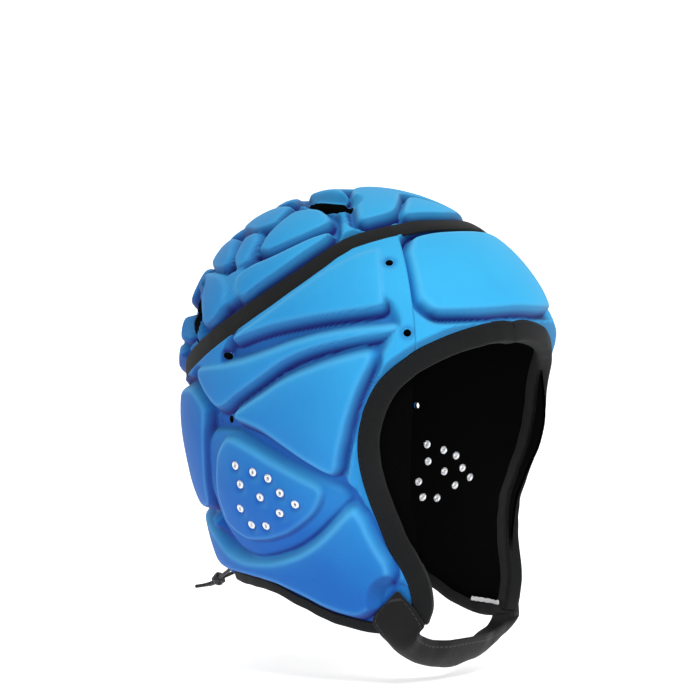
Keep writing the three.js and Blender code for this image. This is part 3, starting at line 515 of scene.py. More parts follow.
lining = unrolled("lining_jersey", 240, 110, lining_place, jersey, layers=2, joined="uv")
eyelets_at = {hand: [spot_at(hand * t, d) for t, d in ear_holes] for hand in (1, -1)}
punches = []
for hand in (1, -1):
    punches += [round_punch(spot, eyelet_radius + 0.2) for spot in eyelets_at[hand]]
    punches += [round_punch(spot_at(hand * t, d), vent_radius) for t, d in vent_holes]
    punches += [slot_punch(vent_loop(table, hand)) for table in (top_vent, back_vent)]
punch(lining, punches)
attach(lining, "root")
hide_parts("lining")


# Crown panel: one piece of blue knit moulded over closed-cell foam, cut into blocks across the top and
# down the back so that it bends. Two slots and two triangles between the blocks are air vents.
def evened(key, middle, rows):
    """A pad's table from its middle row outwards, the same to either side."""
    return key, ([(middle - aside, low, high) for aside, low, high in rows[:0:-1]]
                 + [(middle + aside, low, high) for aside, low, high in rows])


middle_blocks = [
    evened("side", 0, [(0, 0.216, 0.36), (0.09, 0.256, 0.346), (0.175, 0.295, 0.322)]),
    evened("side", 0, [(0, -0.025, 0.178), (0.1, 0.015, 0.225), (0.22, 0.115, 0.272), (0.33, 0.205, 0.23)]),
    evened("side", 0, [(0, -0.2, -0.075), (0.11, -0.13, -0.02), (0.19, -0.02, 0.05)]),
    evened("side", 0, [(0, -0.355, -0.245), (0.09, -0.32, -0.205), (0.18, -0.235, -0.175)]),
    evened("side", 0, [(0, -0.625, -0.4), (0.13, -0.6, -0.4), (0.25, -0.5, -0.42)]),
    evened("turn", 180, [(0, 0.67, 1.08), (9, 0.68, 1.075), (17, 0.74, 1.03)])]
paired_blocks = [
    ("ahead", [(-0.34, 0.2, 0.29), (-0.27, 0.2, 0.35), (-0.19, 0.23, 0.4), (-0.125, 0.27, 0.4)]),
    ("ahead", [(-0.12, 0.455, 0.54), (-0.07, 0.325, 0.55), (0, 0.318, 0.515), (0.06, 0.345, 0.47),
               (0.11, 0.385, 0.415)]),
    ("ahead", [(-0.25, 0.425, 0.54), (-0.2, 0.42, 0.6), (-0.158, 0.48, 0.59)]),
    ("ahead", [(-0.46, 0.3, 0.41), (-0.41, 0.31, 0.48), (-0.34, 0.37, 0.54), (-0.29, 0.5, 0.56)]),
    ("ahead", [(-0.19, 0.64, 0.7), (-0.13, 0.61, 0.742), (-0.05, 0.587, 0.7), (0.03, 0.54, 0.642),
               (0.1, 0.48, 0.562), (0.15, 0.44, 0.485)]),
    ("ahead", [(-0.47, 0.47, 0.53), (-0.43, 0.5, 0.65), (-0.38, 0.54, 0.775), (-0.3, 0.6, 0.785),
               (-0.24, 0.67, 0.745)]),
    ("turn", [(148, 0.66, 0.775), (153, 0.645, 0.795), (158, 0.665, 0.78)]),
    ("turn", [(131, 0.905, 0.922), (136, 0.872, 0.925), (145, 0.843, 0.925), (155, 0.85, 0.915)]),
    ("turn", [(136, 0.962, 1.02), (142, 0.95, 1.05), (150, 0.95, 1.065), (156, 0.965, 1.06)])]
block_bridge = ("ahead", [(-0.27, 0.6, 0.745), (-0.22, 0.6, 0.745), (-0.17, 0.6, 0.74)])
block_slope, pad_slope, edge_softness = 2.1, 1.6, 0.8
dome_rise, dome_reach, edge_light_within, edge_light_width = 0.8, 7, 0.5, 1.5
groove_half, groove_fade, pads_apart, apart_fade = 4.5, 4.0, 13, 7.0
plateau, plateau_edge, tape_clear = 11.4, 0.6, 1.5
# The painted light on the knit falls from above and behind.
painted_light_from = np.array([0, 0.5, 0.86])
under_band, vent_lip = (5.2, 1.3, 6.6), (1.2, 1.1, 7.2)


def gap_to(points, line, closed):
    """The distance in millimetres from points to a line of points."""
    start = line if closed else line[:-1]
    step = (np.roll(line, -1, axis=0) if closed else line[1:]) - start
    size = (step ** 2).sum(axis=1) + 1e-16
    gaps = []
    for k in range(0, len(points), 1200):
        reach = points[k:k + 1200, None] - start
        share = np.clip((reach * step).sum(axis=2) / size, 0, 1)
        gaps.append((((reach - share[..., None] * step) ** 2).sum(axis=2)).min(axis=1) ** 0.5)
    return np.concatenate(gaps) * 1000


def within(spots, loop):
    """Which spots lie inside a closed loop of spots."""
    inside = np.zeros(len(spots), dtype=bool)
    x, y = spots[:, 0], spots[:, 1]
    for (ax, ay), (bx, by) in zip(loop, np.roll(loop, -1, axis=0)):
        if ay != by:
            inside ^= ((ay > y) != (by > y)) & (x < (bx - ax) * (y - ay) / (by - ay) + ax)
    return inside


def soft_step(value):
    value = np.clip(value, 0, 1)
    return value * value * (3 - 2 * value)


def foam_relief(spots, pads, tapes, dimples=()):
    """The height of the moulded foam at each spot, a painted shade that grows the deeper it lies in a
    groove and round each dimple, and a painted highlight near a pad's edge. The foam sinks between two
    pads and beside a pad with a groove of its own, and stays thick elsewhere. Tapes hold it down beside
    their lines: each has a line of spots, the half width pressed, the rise beyond it and the height
    there. Dimples draw it in round holes."""
    middle = lifted(spots, mid_foam)
    level, edge = np.zeros((2, len(spots)))
    groove, nearest, second = np.full((3, len(spots)), 99.0)
    for table, hand, top, slope, own in pads:
        loop = outline(table, hand)
        border = lifted(loop, mid_foam)
        low, high = border.min(axis=0) - 0.02, border.max(axis=0) + 0.02
        near = np.flatnonzero(((middle > low) & (middle < high)).all(axis=1))
        if len(near) == 0:
            continue
        gap = gap_to(middle[near], border, True)
        gap = np.where(within(spots[near], loop), -gap, gap)
        fall = 0.5 * slope * (gap + np.sqrt(gap ** 2 + edge_softness ** 2))
        dome = dome_rise * (1 - np.exp(np.minimum(gap, 0) / dome_reach))
        level[near] = np.maximum(level[near], top - fall + dome)
        # Painted highlight along the top edge of each full-height pad.
        painted_edge_light = np.exp(-((gap + edge_light_within) / edge_light_width) ** 2) * (top > pad_top - 1)
        edge[near] = np.maximum(edge[near], painted_edge_light)
        second[near] = np.minimum(second[near], np.maximum(nearest[near], gap))
        nearest[near] = np.minimum(nearest[near], gap)
        if own:
            groove[near] = np.minimum(groove[near], gap)
    sunk = np.maximum(1 - soft_step((groove - groove_half) / groove_fade),
                      1 - soft_step((nearest + second - pads_apart) / apart_fade))
    height = np.maximum(level, panel_outside + (plateau - panel_outside) * (1 - sunk))
    # Painted shade: the lower the foam lies under the pads' tops, the darker the knit.
    dark = np.clip((plateau - plateau_edge - height) / (plateau - panel_outside - plateau_edge), 0, 1)
    for line, width, rise, floor in tapes:
        gap = gap_to(middle, lifted(line, mid_foam), False)
        limit = floor + rise * np.maximum(0, gap - width)
        limit = 0.5 * (limit + pad_top + tape_clear
                       - np.sqrt((limit - pad_top - tape_clear) ** 2 + 1.0))
        edge = np.where(height > limit, 0, edge)
        height = np.minimum(height, limit)
    for spot, reach, depth in dimples:
        gap = np.linalg.norm(middle - lifted(np.array([spot]), mid_foam), axis=1) * 1000
        height = height - depth * np.exp(-(gap / reach) ** 2)
        # Painted shadow: a dark patch round each dimple.
        dark = np.maximum(dark, 0.9 * np.exp(-(gap / (reach + 1.0)) ** 4))
    return height, dark, edge


def moulded(spots, inner, pads, tapes, dimples=()):
    """Both faces of a padded panel, and where the outer one gets the knit's painted shade and highlight."""
    height = np.full(len(spots), panel_inside + 0.05)
    painted_crease_shade, edge = np.zeros((2, len(spots)))
    outer = ~inner
    height[outer], painted_crease_shade[outer], edge[outer] = foam_relief(spots[outer], pads, tapes, dimples)
    values = {"painted_crease_shade": painted_crease_shade, "edge": edge, "lean": normals(spots) @ painted_light_from}
    return lifted(spots, height), cloth_map(spots), values


def shade_walls(piece):
    """Keeps how much each point leans down and forward, for the knit's painted shade, or up and back,
    for its painted light.
    """
    mesh = piece.data
    lean = np.empty(len(mesh.vertices))
    mesh.attributes["lean"].data.foreach_get("value", lean)
    normal = np.empty(len(mesh.vertices) * 3)
    mesh.vertex_normals.foreach_get("vector", normal)
    tilt = lean - normal.reshape(-1, 3) @ painted_light_from
    for name, amount in (("painted_shade_down", (tilt - 0.1) * 2.3), ("over", -tilt * 1.6)):
        amount = np.clip(amount, 0, 1)
        mesh.attributes.new(name, "FLOAT", "POINT").data.foreach_set("value", amount.astype(np.float32))


def knit_finish():
    finish = Finish("blue_knit", Specular_IOR_Level=0.25, Sheen_Weight=0.05, Sheen_Roughness=0.5)
    painted_shade_down, over, painted_crease_shade, edge = [finish.kept(name) for name in ("painted_shade_down", "over", "painted_crease_shade", "edge")]
    cloth, place = finish.cloth(), finish.in_object()
    across, down, _ = finish.axes(cloth)
    _, back, up = finish.axes(place)
    loops = (across * 7.0).maths("SINE") * (down * 5.2 + (across * 3.5).maths("SINE") * 0.5).maths("SINE")
    patch = finish.noise(place, 14.0, 2.0)
    fuzz = finish.noise(cloth, 1.6, 4.0)
    tone = finish.clamp((patch - 0.5) * 0.9 + (fuzz - 0.5) * 0.35 + 0.5)
    # Painted light: the knit is paler towards the top and front of the head and darker towards the bottom and
    # back.
    painted_top_light = finish.clamp(up * 4.0 - back * 3.6 + (tone - 0.5) * 0.4 + 0.36)
    flat = finish.between(painted_top_light, srgb(10, 98, 182), srgb(54, 184, 238))
    # Painted light: walls that lean up and back are made paler.
    lit = finish.between(over * 0.5, flat, srgb(80, 190, 240))
    # Painted shade: the knit is darker deep in the grooves and round the dimples.
    deep = finish.between(painted_crease_shade ** 1.2 * 0.6, lit, srgb(10, 52, 156))
    # Painted shade: walls that lean down and forward are made darker, most of all in the grooves.
    shaded = finish.between(finish.clamp(painted_shade_down * (painted_crease_shade * 0.6 + 0.5)), deep, srgb(8, 18, 104))
    # Painted highlight: a pale line along the pads' top edges, left off walls that lean down.
    painted_edge_light = finish.between(edge * 0.3 * (1 - painted_shade_down), shaded, srgb(96, 192, 242))
    rough = 0.62 + fuzz * 0.2 - edge * 0.08
    return finish.wire(loops * 0.5 + fuzz * 0.8, 0.00022, 0.35, Base_Color=painted_edge_light, Roughness=rough)


def foam_finish():
    finish = Finish("cut_foam", Roughness=0.95, Specular_IOR_Level=0.1)
    pores = finish.noise(finish.in_object(), 900.0)
    return finish.wire(pores, 0.0002, 0.5, Base_Color=finish.between(pores, srgb(6, 6, 7), srgb(20, 20, 22)))


blue_knit, cut_foam = knit_finish(), foam_finish()


def band_spots():
    turn = np.linspace(-180, 180, 200)
    return spot_at(turn, along_table(band_line, turn))


def crown_place(u, v, inner):
    turn = 360 * u - 180
    rim = along_table(band_line, turn) - seam_gap
    pads = [(table, 1, pad_top, block_slope, True) for table in middle_blocks]
    pads += [(table, hand, pad_top, block_slope, True) for table in paired_blocks for hand in (1, -1)]
    pads += [(block_bridge, hand, pad_top - 1.5, block_slope, False) for hand in (1, -1)]
    lips = [(np.vstack([loop, loop[:1]]), *vent_lip) for loop in vent_loops]
    return moulded(spot_at(turn, v * rim), inner, pads, [(band_spots(), *under_band)] + lips)


vent_loops = [vent_loop(table, hand) for table in (top_vent, back_vent) for hand in (1, -1)]
crown = unrolled("crown_knit", 330, 112, crown_place, blue_knit, layers=2, joined="uv")
shade_walls(crown)
punch(crown, [slot_punch(loop) for loop in vent_loops], cut_foam)
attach(crown, "root")
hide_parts("crown_panel")


# Forehead panel: the same knit and foam, moulded as one wide pad over the brow. Its top is sewn under
# the band, and its sides to the side panels.
forehead_turn, joint_turn, slit_turn = 40.8, 0.03, 176.1
forehead_pad = evened("turn", 0, [(0, 0.469, 0.793), (17, 0.474, 0.8), (33, 0.5, 0.803),
                                  (38, 0.565, 0.755)])
beside_band, beside_face = (4.6, 1.6, 9.6), (9.0, 1.9, panel_outside)


def face_spots(count):
    """The whole face edge as spots, from flap tip to flap tip."""
    return np.vstack([face_line(-1, count)[::-1], face_line(1, count)[1:]])


def forehead_place(u, v, inner):
    turn = (2 * u - 1) * (forehead_turn - joint_turn)
    top = along_table(band_line, turn) + seam_gap
    line_turn, line_drop = turn_and_drop(face_line(1, 200)[:110])
    bottom = np.interp(np.abs(turn), line_turn, line_drop)
    return moulded(spot_at(turn, top + (bottom - top) * v), inner,
                   [(forehead_pad, 1, pad_top, pad_slope, True)],
                   [(band_spots(), *beside_band), (face_spots(90), *beside_face)])


forehead = unrolled("forehead_knit", 150, 100, forehead_place, blue_knit, layers=2)
shade_walls(forehead)
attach(forehead, "root")
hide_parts("forehead_panel")


# Side panels: one moulded piece each, from the temple round the ear to the nape, where a slit parts
# them. The pads taper into the flat cloth, and the ear has a raised cup inside a lower ring.
side_pads = [
    (pad_top, False, [(49.5, 0.55, 0.785), (58, 0.58, 0.8), (67, 0.634, 0.815), (76, 0.71, 0.834),
                      (85, 0.787, 0.856), (93, 0.852, 0.884), (100, 0.9, 0.912)]),
    (pad_top, False, [(46, 0.857, 0.873), (56, 0.867, 0.896), (66, 0.886, 0.922), (77, 0.919, 0.966),
                      (87, 0.958, 1.033), (97, 0.992, 1.102), (106, 1.008, 1.155), (113, 1.016, 1.114),
                      (118.5, 1.024, 1.055)]),
    (pad_top, True, [(53.5, 0.951, 0.985), (57, 0.96, 1.09), (61, 0.973, 1.25), (64, 0.984, 1.342),
                     (71, 1.013, 1.315), (80, 1.055, 1.264), (88, 1.106, 1.222), (95, 1.15, 1.2),
                     (99, 1.175, 1.19)]),
    (ear_ring_top, True, [(61.5, 1.42, 1.44), (67, 1.388, 1.492), (74, 1.358, 1.556), (82, 1.325, 1.616),
                          (92, 1.277, 1.656), (101, 1.236, 1.673), (110, 1.236, 1.654), (116, 1.295, 1.61),
                          (120, 1.44, 1.56)]),
    (pad_top, True, [(69.5, 1.4, 1.425), (73, 1.38, 1.476), (79, 1.353, 1.53), (86, 1.322, 1.574),
                     (94, 1.284, 1.6), (102, 1.258, 1.606), (108, 1.305, 1.588), (113.5, 1.45, 1.545)]),
    (pad_top, True, [(53.8, 1.68, 1.725), (57, 1.6, 1.775), (60.5, 1.47, 1.825), (67, 1.53, 1.862),
                     (76, 1.612, 1.838), (85, 1.663, 1.792), (95, 1.69, 1.757), (107, 1.697, 1.745),
                     (119, 1.68, 1.742), (131, 1.617, 1.735), (145, 1.56, 1.72), (158, 1.545, 1.715)]),
    (pad_top, True, [(114.5, 1.165, 1.22), (119, 1.125, 1.38), (124.5, 1.1, 1.5), (133, 1.105, 1.51),
                     (145, 1.135, 1.5), (158, 1.15, 1.49)])]
strap_patch = np.array([(54.5, 1.92), (53.5, 1.86), (52.8, 1.81)])
slit_drop = np.linspace(1.12, 1.76, 30)
under_strap, beside_slit = (8.6, 1.0, panel_outside), (11.5, 2.0, panel_outside)
beside_hem, bare_hem = (5.2, 2.0, panel_outside), (0.4, 2.2, panel_outside)
eyelet_dimple, vent_dimple, border_steps = (2.9, 1.5), (3.2, 0.8), 400


def measured(turn, drop):
    """A border given as turns and drops, spaced evenly by its length."""
    walked = np.concatenate([[0], np.cumsum(np.hypot(np.diff(turn) * math.pi / 2, np.diff(drop) * 150))])
    at = np.linspace(0, walked[-1], border_steps)
    return np.stack([np.interp(at, walked, turn), np.interp(at, walked, drop)], axis=1)


def side_patch(u, v):
    """Turns and drops of the panel between its four borders."""
    front_turn = forehead_turn + joint_turn
    turn, drop = turn_and_drop(face_line(1, 240))
    first = int(np.argmax(turn > front_turn))
    seam_top = along_table(band_line, np.array([front_turn]))[0] + seam_gap
    seam = np.linspace(seam_top, drop[first], 60)
    front = measured(np.concatenate([np.full(60, front_turn), turn[first:]]),
                     np.concatenate([seam, drop[first:]]))
    top_turn = np.linspace(front_turn, slit_turn, 300)
    top = measured(top_turn, along_table(band_line, top_turn) + seam_gap)
    low_turn = np.linspace(tip_turn, slit_turn, 300)
    low = measured(low_turn, along_table(hem_edge, low_turn))
    rear = measured(np.full(2, slit_turn), np.array([top[-1, 1], low[-1, 1]]))
    share = np.linspace(0, 1, border_steps)

    def on(border, t):
        return np.stack([np.interp(t, share, border[:, k]) for k in (0, 1)], axis=1)
    a, b = u[:, None], v[:, None]
    corners = (1 - a) * (1 - b) * top[0] + a * (1 - b) * top[-1] + (1 - a) * b * low[0] + a * b * low[-1]
    return (1 - b) * on(top, u) + b * on(low, u) + (1 - a) * on(front, v) + a * on(rear, v) - corners


def hem_spots(hand, first, last, count):
    turn = np.linspace(first, last, count)
    return spot_at(hand * turn, along_table(hem_edge, turn))


def pads_of(hand):
    return [(("turn", rows), hand, top, pad_slope, own) for top, own, rows in side_pads]


def side_place(hand):
    def place(u, v, inner):
        patch = side_patch(u, v)
        tapes = [(band_spots(), *beside_band), (face_line(hand, 120), *beside_face),
                 (spot_at(hand * strap_patch[:, 0], strap_patch[:, 1]), *under_strap),
                 (hem_spots(hand, tip_turn, hem_tape_end, 120), *beside_hem),
                 (hem_spots(hand, hem_tape_end, 180, 60), *bare_hem),
                 (spot_at(hand * slit_turn, slit_drop), *beside_slit)]
        # Each dimple, with its painted shadow, sits a little below its eyelet.
        dimples = [(spot * 1.006, *eyelet_dimple) for spot in eyelets_at[hand]]
        dimples += [(spot_at(hand * t, d), *vent_dimple) for t, d in vent_holes]
        return moulded(spot_at(hand * patch[:, 0], patch[:, 1]), inner, pads_of(hand), tapes, dimples)
    return place


lace_turn = slit_turn - math.degrees(2 * 7 / head_length)
lace_rows, lace_hole = [1.3, 1.45, 1.6, 1.7], 1.6
for side, hand in (("right", 1), ("left", -1)):
    panel = unrolled("side_knit_" + side, 250, 190, side_place(hand), blue_knit, layers=2)
    shade_walls(panel)
    holes = [round_punch(spot, eyelet_radius) for spot in eyelets_at[hand]]
    holes += [round_punch(spot_at(hand * t, d), vent_radius) for t, d in vent_holes]
    holes += [round_punch(spot_at(hand * lace_turn, d), lace_hole) for d in lace_rows]
    punch(panel, holes, cut_foam)
    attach(panel, "root")
    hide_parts("side_panel_" + side)


# Ear eyelets: plated brass, each drawn through the cup over the ear and rolled at both ends. They keep
# the holes open, so that the wearer can hear.
def plated_finish():
    finish = Finish("plated_brass", Metallic=0.45, Coat_Weight=0.3, Coat_Roughness=0.15)
    dull = finish.noise(finish.in_object(), 220.0)
    shade = finish.between(dull, srgb(206, 210, 216), srgb(250, 250, 250))
    return finish.wire(dull, 0.00005, 0.3, Base_Color=shade, Roughness=dull * 0.2 + 0.3)


def spun(bm, profile, spot):
    """A ring turned round the normal at a spot, from a closed profile of radii and heights."""
    first = len(bm.verts)
    start = [bm.verts.new((radius / 1000, 0, height / 1000)) for radius, height in profile]
    loop = [bm.edges.new(pair) for pair in zip(start, start[1:] + start[:1])]
    bmesh.ops.spin(bm, geom=start + loop, axis=(0, 0, 1), cent=(0, 0, 0), angle=2 * math.pi, steps=20,
                   use_merge=True)
    bm.verts.ensure_lookup_table()
    bmesh.ops.transform(bm, matrix=stood_at(spot, 0), verts=bm.verts[first:])


plated = plated_finish()
for side, hand in (("right", 1), ("left", -1)):
    bm = bmesh.new()
    for spot in eyelets_at[hand]:
        top = foam_relief(np.array([spot]), pads_of(hand), [])[0][0] - 0.45
        profile = [(0.75, -0.5), (0.75, top - 0.5), (0.85, top + 0.3), (1.2, top + 0.7), (1.7, top + 0.75),
                   (2.2, top + 0.5), (2.5, top + 0.1), (2.5, top - 0.25), (1.8, top - 0.3), (1.75, 0.0),
                   (2.35, -0.1), (2.45, -0.4), (2.1, -0.75), (1.4, -0.9), (0.95, -0.8)]
        spun(bm, profile, spot)
    bmesh.ops.recalc_face_normals(bm, faces=bm.faces[:])
    eyelets = made("ear_eyelets_" + side, bm, plated)
    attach(eyelets, "root")
    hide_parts(*[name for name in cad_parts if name.startswith("ear_eyelet_" + side)])


# Edge tape: black woven polyester, folded over the cut edges of foam and lining and sewn through with
# one row. One length goes round the face from flap tip to flap tip, and one along each ear hem.
def stitches(along, aside, pitch, filled, half_width):
    """Where thread lies: a row of stitches, aside millimetres from its middle line."""
    on = (along / pitch).maths("FRACT").maths("LESS_THAN", filled)
    return on * aside.maths("ABSOLUTE").maths("LESS_THAN", half_width)


def tape_finish():
    finish = Finish("black_tape", Specular_IOR_Level=0.18, Sheen_Weight=0.03, Sheen_Roughness=0.6)
    cloth = finish.cloth()
    along, across, _ = finish.axes(cloth)
    ribs = (along * full_turn / 0.9).maths("SINE") * 0.5 + 0.5
    warp = (across * full_turn / 0.7).maths("SINE") * 0.25
    thread = stitches(along, across - 1.5, 3.0, 0.72, 0.32)
    fuzz = finish.noise(cloth, 3.0)
    inner_leg = (across - 17.5).maths("GREATER_THAN", 0.0)
    plain = finish.between(fuzz, srgb(8, 9, 10), srgb(19, 20, 21))
    # Painted shade: the leg of the tape inside the cap is darker than the leg outside.
    painted_inner_shade = finish.between(inner_leg, plain, srgb(3, 3, 3))
    shade = finish.between(thread * 0.8, painted_inner_shade, srgb(30, 30, 32))
    return finish.wire(ribs + warp + fuzz * 0.5 + thread * 2.0, 0.00022, 0.5, Base_Color=shade,
                       Roughness=fuzz * 0.2 + 0.68)


def beside(line, across, at):
    """Spots that lie some millimetres to the left of a line of spots, at whole places along it."""
    way = np.gradient(line, axis=0)
    step = 0.005
    side = (form(line + [step, 0]) - form(line - [step, 0])) / (2 * step)
    ahead = (form(line + [0, step]) - form(line - [0, step])) / (2 * step)
    along = side * way[:, :1] + ahead * way[:, 1:]
    left = np.cross(normals(line), along)
    left /= np.linalg.norm(left, axis=1, keepdims=True)
    grid = np.stack([side, ahead], axis=2)
    moves = np.einsum("nij,nj->ni", np.linalg.pinv(grid), left) / 1000
    turned = np.sign(way[:, 0] * moves[:, 1] - way[:, 1] * moves[:, 0])[:, None]
    return line[at] + moves[at] * turned[at] * across[:, None]


def strip(name, line, section, material, ripple):
    """A closed tape along a line of spots. Its section is a loop of millimetres left and heights."""
    loop = np.array(section, dtype=float)
    for _ in range(2):
        nxt = np.roll(loop, -1, axis=0)
        loop = np.stack([0.75 * loop + 0.25 * nxt, 0.25 * loop + 0.75 * nxt], axis=1).reshape(-1, 2)
    girth = travelled(np.vstack([loop, loop[:1]]))
    lengths = travelled(form(line)) * 1000
    steps = len(line) - 1

    def place(u, v, layer):
        at = np.clip(np.rint(u * steps), 0, steps).astype(int)
        ring = np.rint(v * len(loop)).astype(int)
        out, height = loop[ring % len(loop)].T
        wave = ripple * np.sin(lengths[at] * 0.31 + np.sin(lengths[at] * 0.11) * 2)
        spots = beside(line, out + wave * 0.6, at)
        return lifted(spots, height + wave), np.stack([lengths[at], girth[ring]], axis=1), {}
    return unrolled(name, steps, len(loop), place, material)


def folded(width):
    """The section of a tape folded over an edge, from its sewn outer border round to the inner one."""
    outside, inside = 6.8, -2.5
    return [(-width, outside - 1.2), (-width, outside), (-width * 0.5, outside + 0.15), (1.0, outside - 0.1),
            (1.9, outside - 1.3), (1.9, inside + 1.2), (1.0, inside), (-width * 0.5, inside - 0.05),
            (-width, inside), (-width, inside + 1.1), (0.4, inside + 1.1), (0.5, outside - 1.2)]


tape = tape_finish()
face_tape_width, hem_tape_width = 8.8, 4.9
face_tape = strip("face_tape", face_spots(170), folded(face_tape_width), tape, ripple=0.12)
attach(face_tape, "root")
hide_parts("face_binding")
for side, hand in (("right", 1), ("left", -1)):
    line = hem_spots(hand, 46, hem_tape_end, 140)[::hand]
    hem_tape = strip("hem_tape_" + side, line, folded(hem_tape_width), tape, ripple=0.1)
    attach(hem_tape, "root")
    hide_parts("hem_binding_" + side)


# Crown band: a black elastic band 12 mm wide, sewn over the joint of the crown and the lower panels. It
# runs from behind one ear over the brow to behind the other, where it is cut straight.
band_turn = np.linspace(-132, 132, 300)
band_section = [(5.8, 9.3), (5.8, 11.2), (3, 11.5), (-3, 10.8), (-5.8, 9.9), (-5.8, 7.8)]
band = strip("crown_band_tape", spot_at(band_turn, along_table(band_line, band_turn)), band_section, tape,
             ripple=0.08)
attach(band, "root")
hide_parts("crown_band")


# Chin strap: one length of soft grey knit over foam, widest under the chin and black on its inner face.
# Each end comes to a point and is sewn flat to the outside of a flap, with a row of dark thread.
def strap_finish():
    finish = Finish("strap_knit", Specular_IOR_Level=0.25, Sheen_Weight=0.1, Sheen_Roughness=0.5)
    cloth = finish.cloth()
    along, across, _ = finish.axes(cloth)
    inner, border = finish.kept("inner"), finish.kept("border")
    thread = stitches(along, border - 2.2, 3.2, 0.7, 0.35)
    loops = (along * 6.0).maths("SINE") * (across * 6.0).maths("SINE")
    fuzz = finish.noise(cloth, 1.8)
    outer = finish.between(fuzz, srgb(36, 36, 37), srgb(54, 54, 55))
    plain = finish.between(inner, outer, srgb(12, 12, 13))
    shade = finish.between(thread * 0.6, plain, srgb(58, 58, 60))
    return finish.wire(loops * 0.5 + fuzz + thread * 1.5, 0.00025, 0.4, Base_Color=shade,
                       Roughness=fuzz * 0.15 + 0.75)


chin_depth, strap_wall, strap_height = 169.0, 2.0, 7.5
strap_rows = {"front": [(0, 0.74, 0.9), (0.185, 0.734, 0.9), (0.333, 0.709, 0.894), (0.46, 0.71, 0.876),
                        (0.55, 0.742, 0.855)],
              "middle": [(0, 0.655, 0.985), (0.185, 0.646, 0.982), (0.333, 0.631, 0.97), (0.46, 0.626, 0.942),
                         (0.55, 0.635, 0.909)],
              "rear": [(0, 0.561, 1.0), (0.185, 0.539, 0.978), (0.333, 0.51, 0.947), (0.46, 0.51, 0.922),
                       (0.55, 0.528, 0.9)]}
strap_end = {"front": [(44.8, 1.9), (46.8, 1.85), (51.6, 1.783)],
             "middle": [(53, 1.918), (55, 1.86), (52.4, 1.78)],
             "rear": [(61.3, 1.93), (62.8, 1.885), (53.2, 1.783)]}
strap_points = {}
for rail, rows in strap_rows.items():
    free = np.array(rows) * [-head_width / 2, -head_length / 2, -chin_depth] / 1000
    sewn = lifted(spot_at(*np.array(strap_end[rail]).T), strap_height + np.array([0.3, 0.6, 0.2]))
    half = np.vstack([free, sewn])
    strap_points[rail] = np.vstack([half[::-1], half[1:] * [-1, 1, 1]])
walked = travelled(strap_points["middle"])
strap_length = walked[-1]


def rail_point(rail, at):
    """Points of the strap's front, middle or rear line, some metres from the right end."""
    return np.stack([steady(walked, strap_points[rail][:, k], at) for k in range(3)], axis=1)


def strap_point(share, across, out):
    """A point of the strap: its share from the right end, -1 to 1 across, and metres outwards."""
    at = share * strap_length
    front, middle, rear = [rail_point(rail, at) for rail in ("front", "middle", "rear")]
    w = across[:, None]
    ahead = rail_point("middle", at + 0.001) - rail_point("middle", at - 0.001)
    point = middle * (1 - w ** 2) + front * (w ** 2 - w) / 2 + rear * (w ** 2 + w) / 2
    slope = -2 * w * middle + front * (2 * w - 1) / 2 + rear * (2 * w + 1) / 2
    normal = np.cross(ahead, slope)
    normal /= np.linalg.norm(normal, axis=1, keepdims=True) + 1e-12
    return point + normal * out[:, None]


def strap_place(u, v, layer):
    angle = 2 * np.pi * v
    across = np.sign(np.cos(angle)) * np.abs(np.cos(angle)) ** 0.45
    out = np.sign(np.sin(angle)) * np.abs(np.sin(angle)) ** 0.5 * strap_wall / 2000
    points = strap_point(u, across, out)
    one = np.ones(len(u))
    width = np.linalg.norm(strap_point(u, -one, out) - strap_point(u, one, out), axis=1) * 1000
    cloth = np.stack([u * strap_length * 1000, across * width / 2], axis=1)
    border = np.minimum(width / 2 * (1 - np.abs(across)), np.minimum(u, 1 - u) * strap_length * 1000 * 0.5)
    return points, cloth, {"inner": np.clip(0.5 - out * 3000, 0, 1), "border": border}


strap = unrolled("chin_strap_knit", 260, 40, strap_place, strap_finish())
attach(strap, "root")
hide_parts("chin_strap")

# Bars of stitches: a dense zigzag of light grey thread across the inner face of each flap, just above
# the tip. It is sewn through the flap and the strap's end, and holds the two together.
def thread_finish():
    finish = Finish("light_thread", Specular_IOR_Level=0.3)
    twist = finish.noise(finish.in_object(), 900.0)
    shade = finish.between(twist, srgb(190, 190, 192), srgb(240, 240, 242))
    return finish.wire(twist, 0.0002, 0.6, Base_Color=shade, Roughness=twist * 0.2 + 0.6)


light_thread = thread_finish()
bar_turn, bar_drop, bar_half, bar_height, bar_count = (47.5, 65.5), (1.88, 1.886), 0.006, -3.2, 34
stitch = np.arange(2 * bar_count + 1)
for side, hand in (("right", 1), ("left", -1)):
    turns = np.linspace(*bar_turn, len(stitch))
    drops = np.linspace(*bar_drop, len(stitch)) + np.where(stitch % 2 == 0, bar_half, -bar_half)
    zigzag = lifted(spot_at(hand * turns, drops), bar_height)
    bar, _ = round_cord("strap_bar_stitches_" + side, zigzag, 0.00045, light_thread, 480)
    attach(bar, "root")


# Nape lace: the same cord drawn through four pairs of holes beside the slit, straight across at the top
# and crossed below, so that the cap can be pulled in at the neck.
def lace_bar(start, end, rise):
    """The lace's way from hole to hole: out of one, over the foam and into the other."""
    deep, resting = panel_inside + 1.1, panel_outside + 1.1 + 0.6
    share = np.array([0, 0.01, 0.2, 0.5, 0.8, 0.99, 1])
    height = np.array([deep, resting, resting + 0.3, resting + rise, resting + 0.3, resting, deep])
    return lifted(start + (end - start) * share[:, None], height)


hole_spots = {hand: [spot_at(hand * lace_turn, drop) for drop in lace_rows] for hand in (1, -1)}
bars = [(hole_spots[1][0], hole_spots[-1][0], 0.3)]
for k in range(2):
    bars += [(hole_spots[1][k], hole_spots[-1][k + 1], 0.3), (hole_spots[-1][k], hole_spots[1][k + 1], 2.2)]
for k, (start, end, rise) in enumerate(bars):
    lace, _ = round_cord("nape_lace_%d" % (k + 1), lace_bar(start, end, rise), lace_radius, braid, 60)
    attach(lace, "root")
    if k == 0:
        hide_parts("nape_lace")


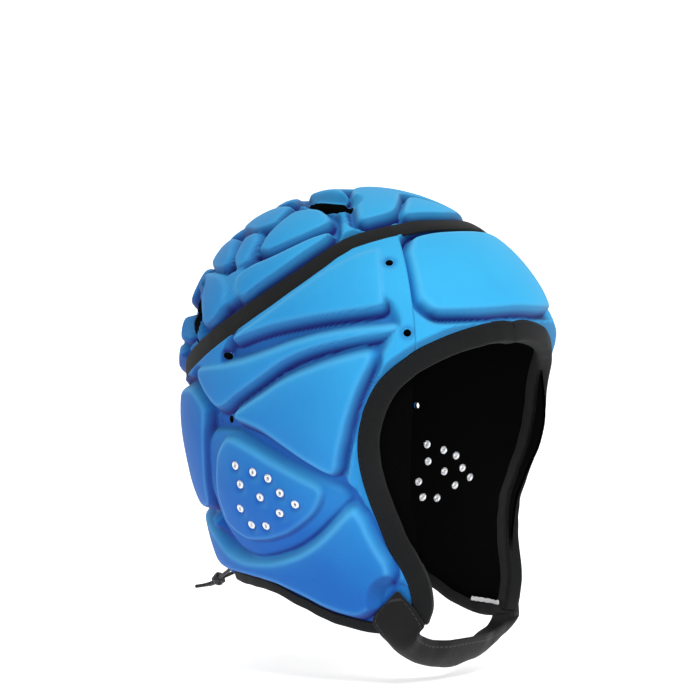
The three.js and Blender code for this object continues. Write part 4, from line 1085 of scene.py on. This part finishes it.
# Stage: a white floor that curves up into a backdrop. A large soft light stands above the front, with a
# wide fill at the wearer's right, one near the camera, one over the top and a faint one inside the cap.
floor_level = -0.176
floor_bm = bmesh.new()
bend = [(-3.0, 0.0), (2.0, 0.0)] + [(2.0 + 1.2 * math.sin(a), 1.2 - 1.2 * math.cos(a))
                                    for a in np.linspace(0.15, math.pi / 2, 9)] + [(3.2, 5.0)]
start = [floor_bm.verts.new((-4.0, y, z)) for y, z in bend]
edges = [floor_bm.edges.new(pair) for pair in zip(start, start[1:])]
swept = bmesh.ops.extrude_edge_only(floor_bm, edges=edges)["geom"]
bmesh.ops.translate(floor_bm, verts=[g for g in swept if isinstance(g, bmesh.types.BMVert)], vec=(8.0, 0, 0))
bmesh.ops.rotate(floor_bm, verts=floor_bm.verts[:], cent=(0, 0, 0),
                 matrix=Matrix.Rotation(azimuth, 3, "Z"))
bmesh.ops.translate(floor_bm, verts=floor_bm.verts[:], vec=(0, 0, floor_level))
bmesh.ops.recalc_face_normals(floor_bm, faces=floor_bm.faces[:])
paper = Finish("white_paper", Roughness=0.9, Specular_IOR_Level=0.1, Emission_Color=(1, 1, 1, 1),
               Emission_Strength=0.6)
grain = paper.noise(paper.in_object(), 40.0)
white = paper.between(grain, srgb(250, 250, 250), srgb(254, 254, 254))
floor = made("floor", floor_bm, paper.wire(grain, 0.0001, 0.1, Base_Color=white))


def area_light(name, place, power, size):
    """A square light that faces the middle of the frame."""
    light = bpy.data.objects.new(name, bpy.data.lights.new(name, "AREA"))
    bpy.context.scene.collection.objects.link(light)
    light.location = place
    light.rotation_euler = Vector(place).to_track_quat("Z", "Y").to_euler()
    light.data.energy, light.data.size = power, size
    return light


area_light("key", (-0.5, -1.4, 2.0), 28, 0.9)
area_light("fill", (-2.1, -0.3, 0.9), 6, 1.6)
area_light("front", (-1.0, -1.9, 0.35), 8, 0.9)
area_light("top", (0.1, 0.4, 2.2), 7, 1.2)
inside = area_light("inside", (0, -0.02, -0.05), 0.06, 0.06)
inside.rotation_euler = (0, -math.pi / 2, 0)
inside.visible_camera = False
world = bpy.data.worlds.new("room")
bpy.context.scene.world = world
world.use_nodes = True
background = world.node_tree.nodes["Background"]
background.inputs["Color"].default_value = (1, 1, 1, 1)
background.inputs["Strength"].default_value = 0.26
bpy.context.scene.view_settings.view_transform = "Standard"
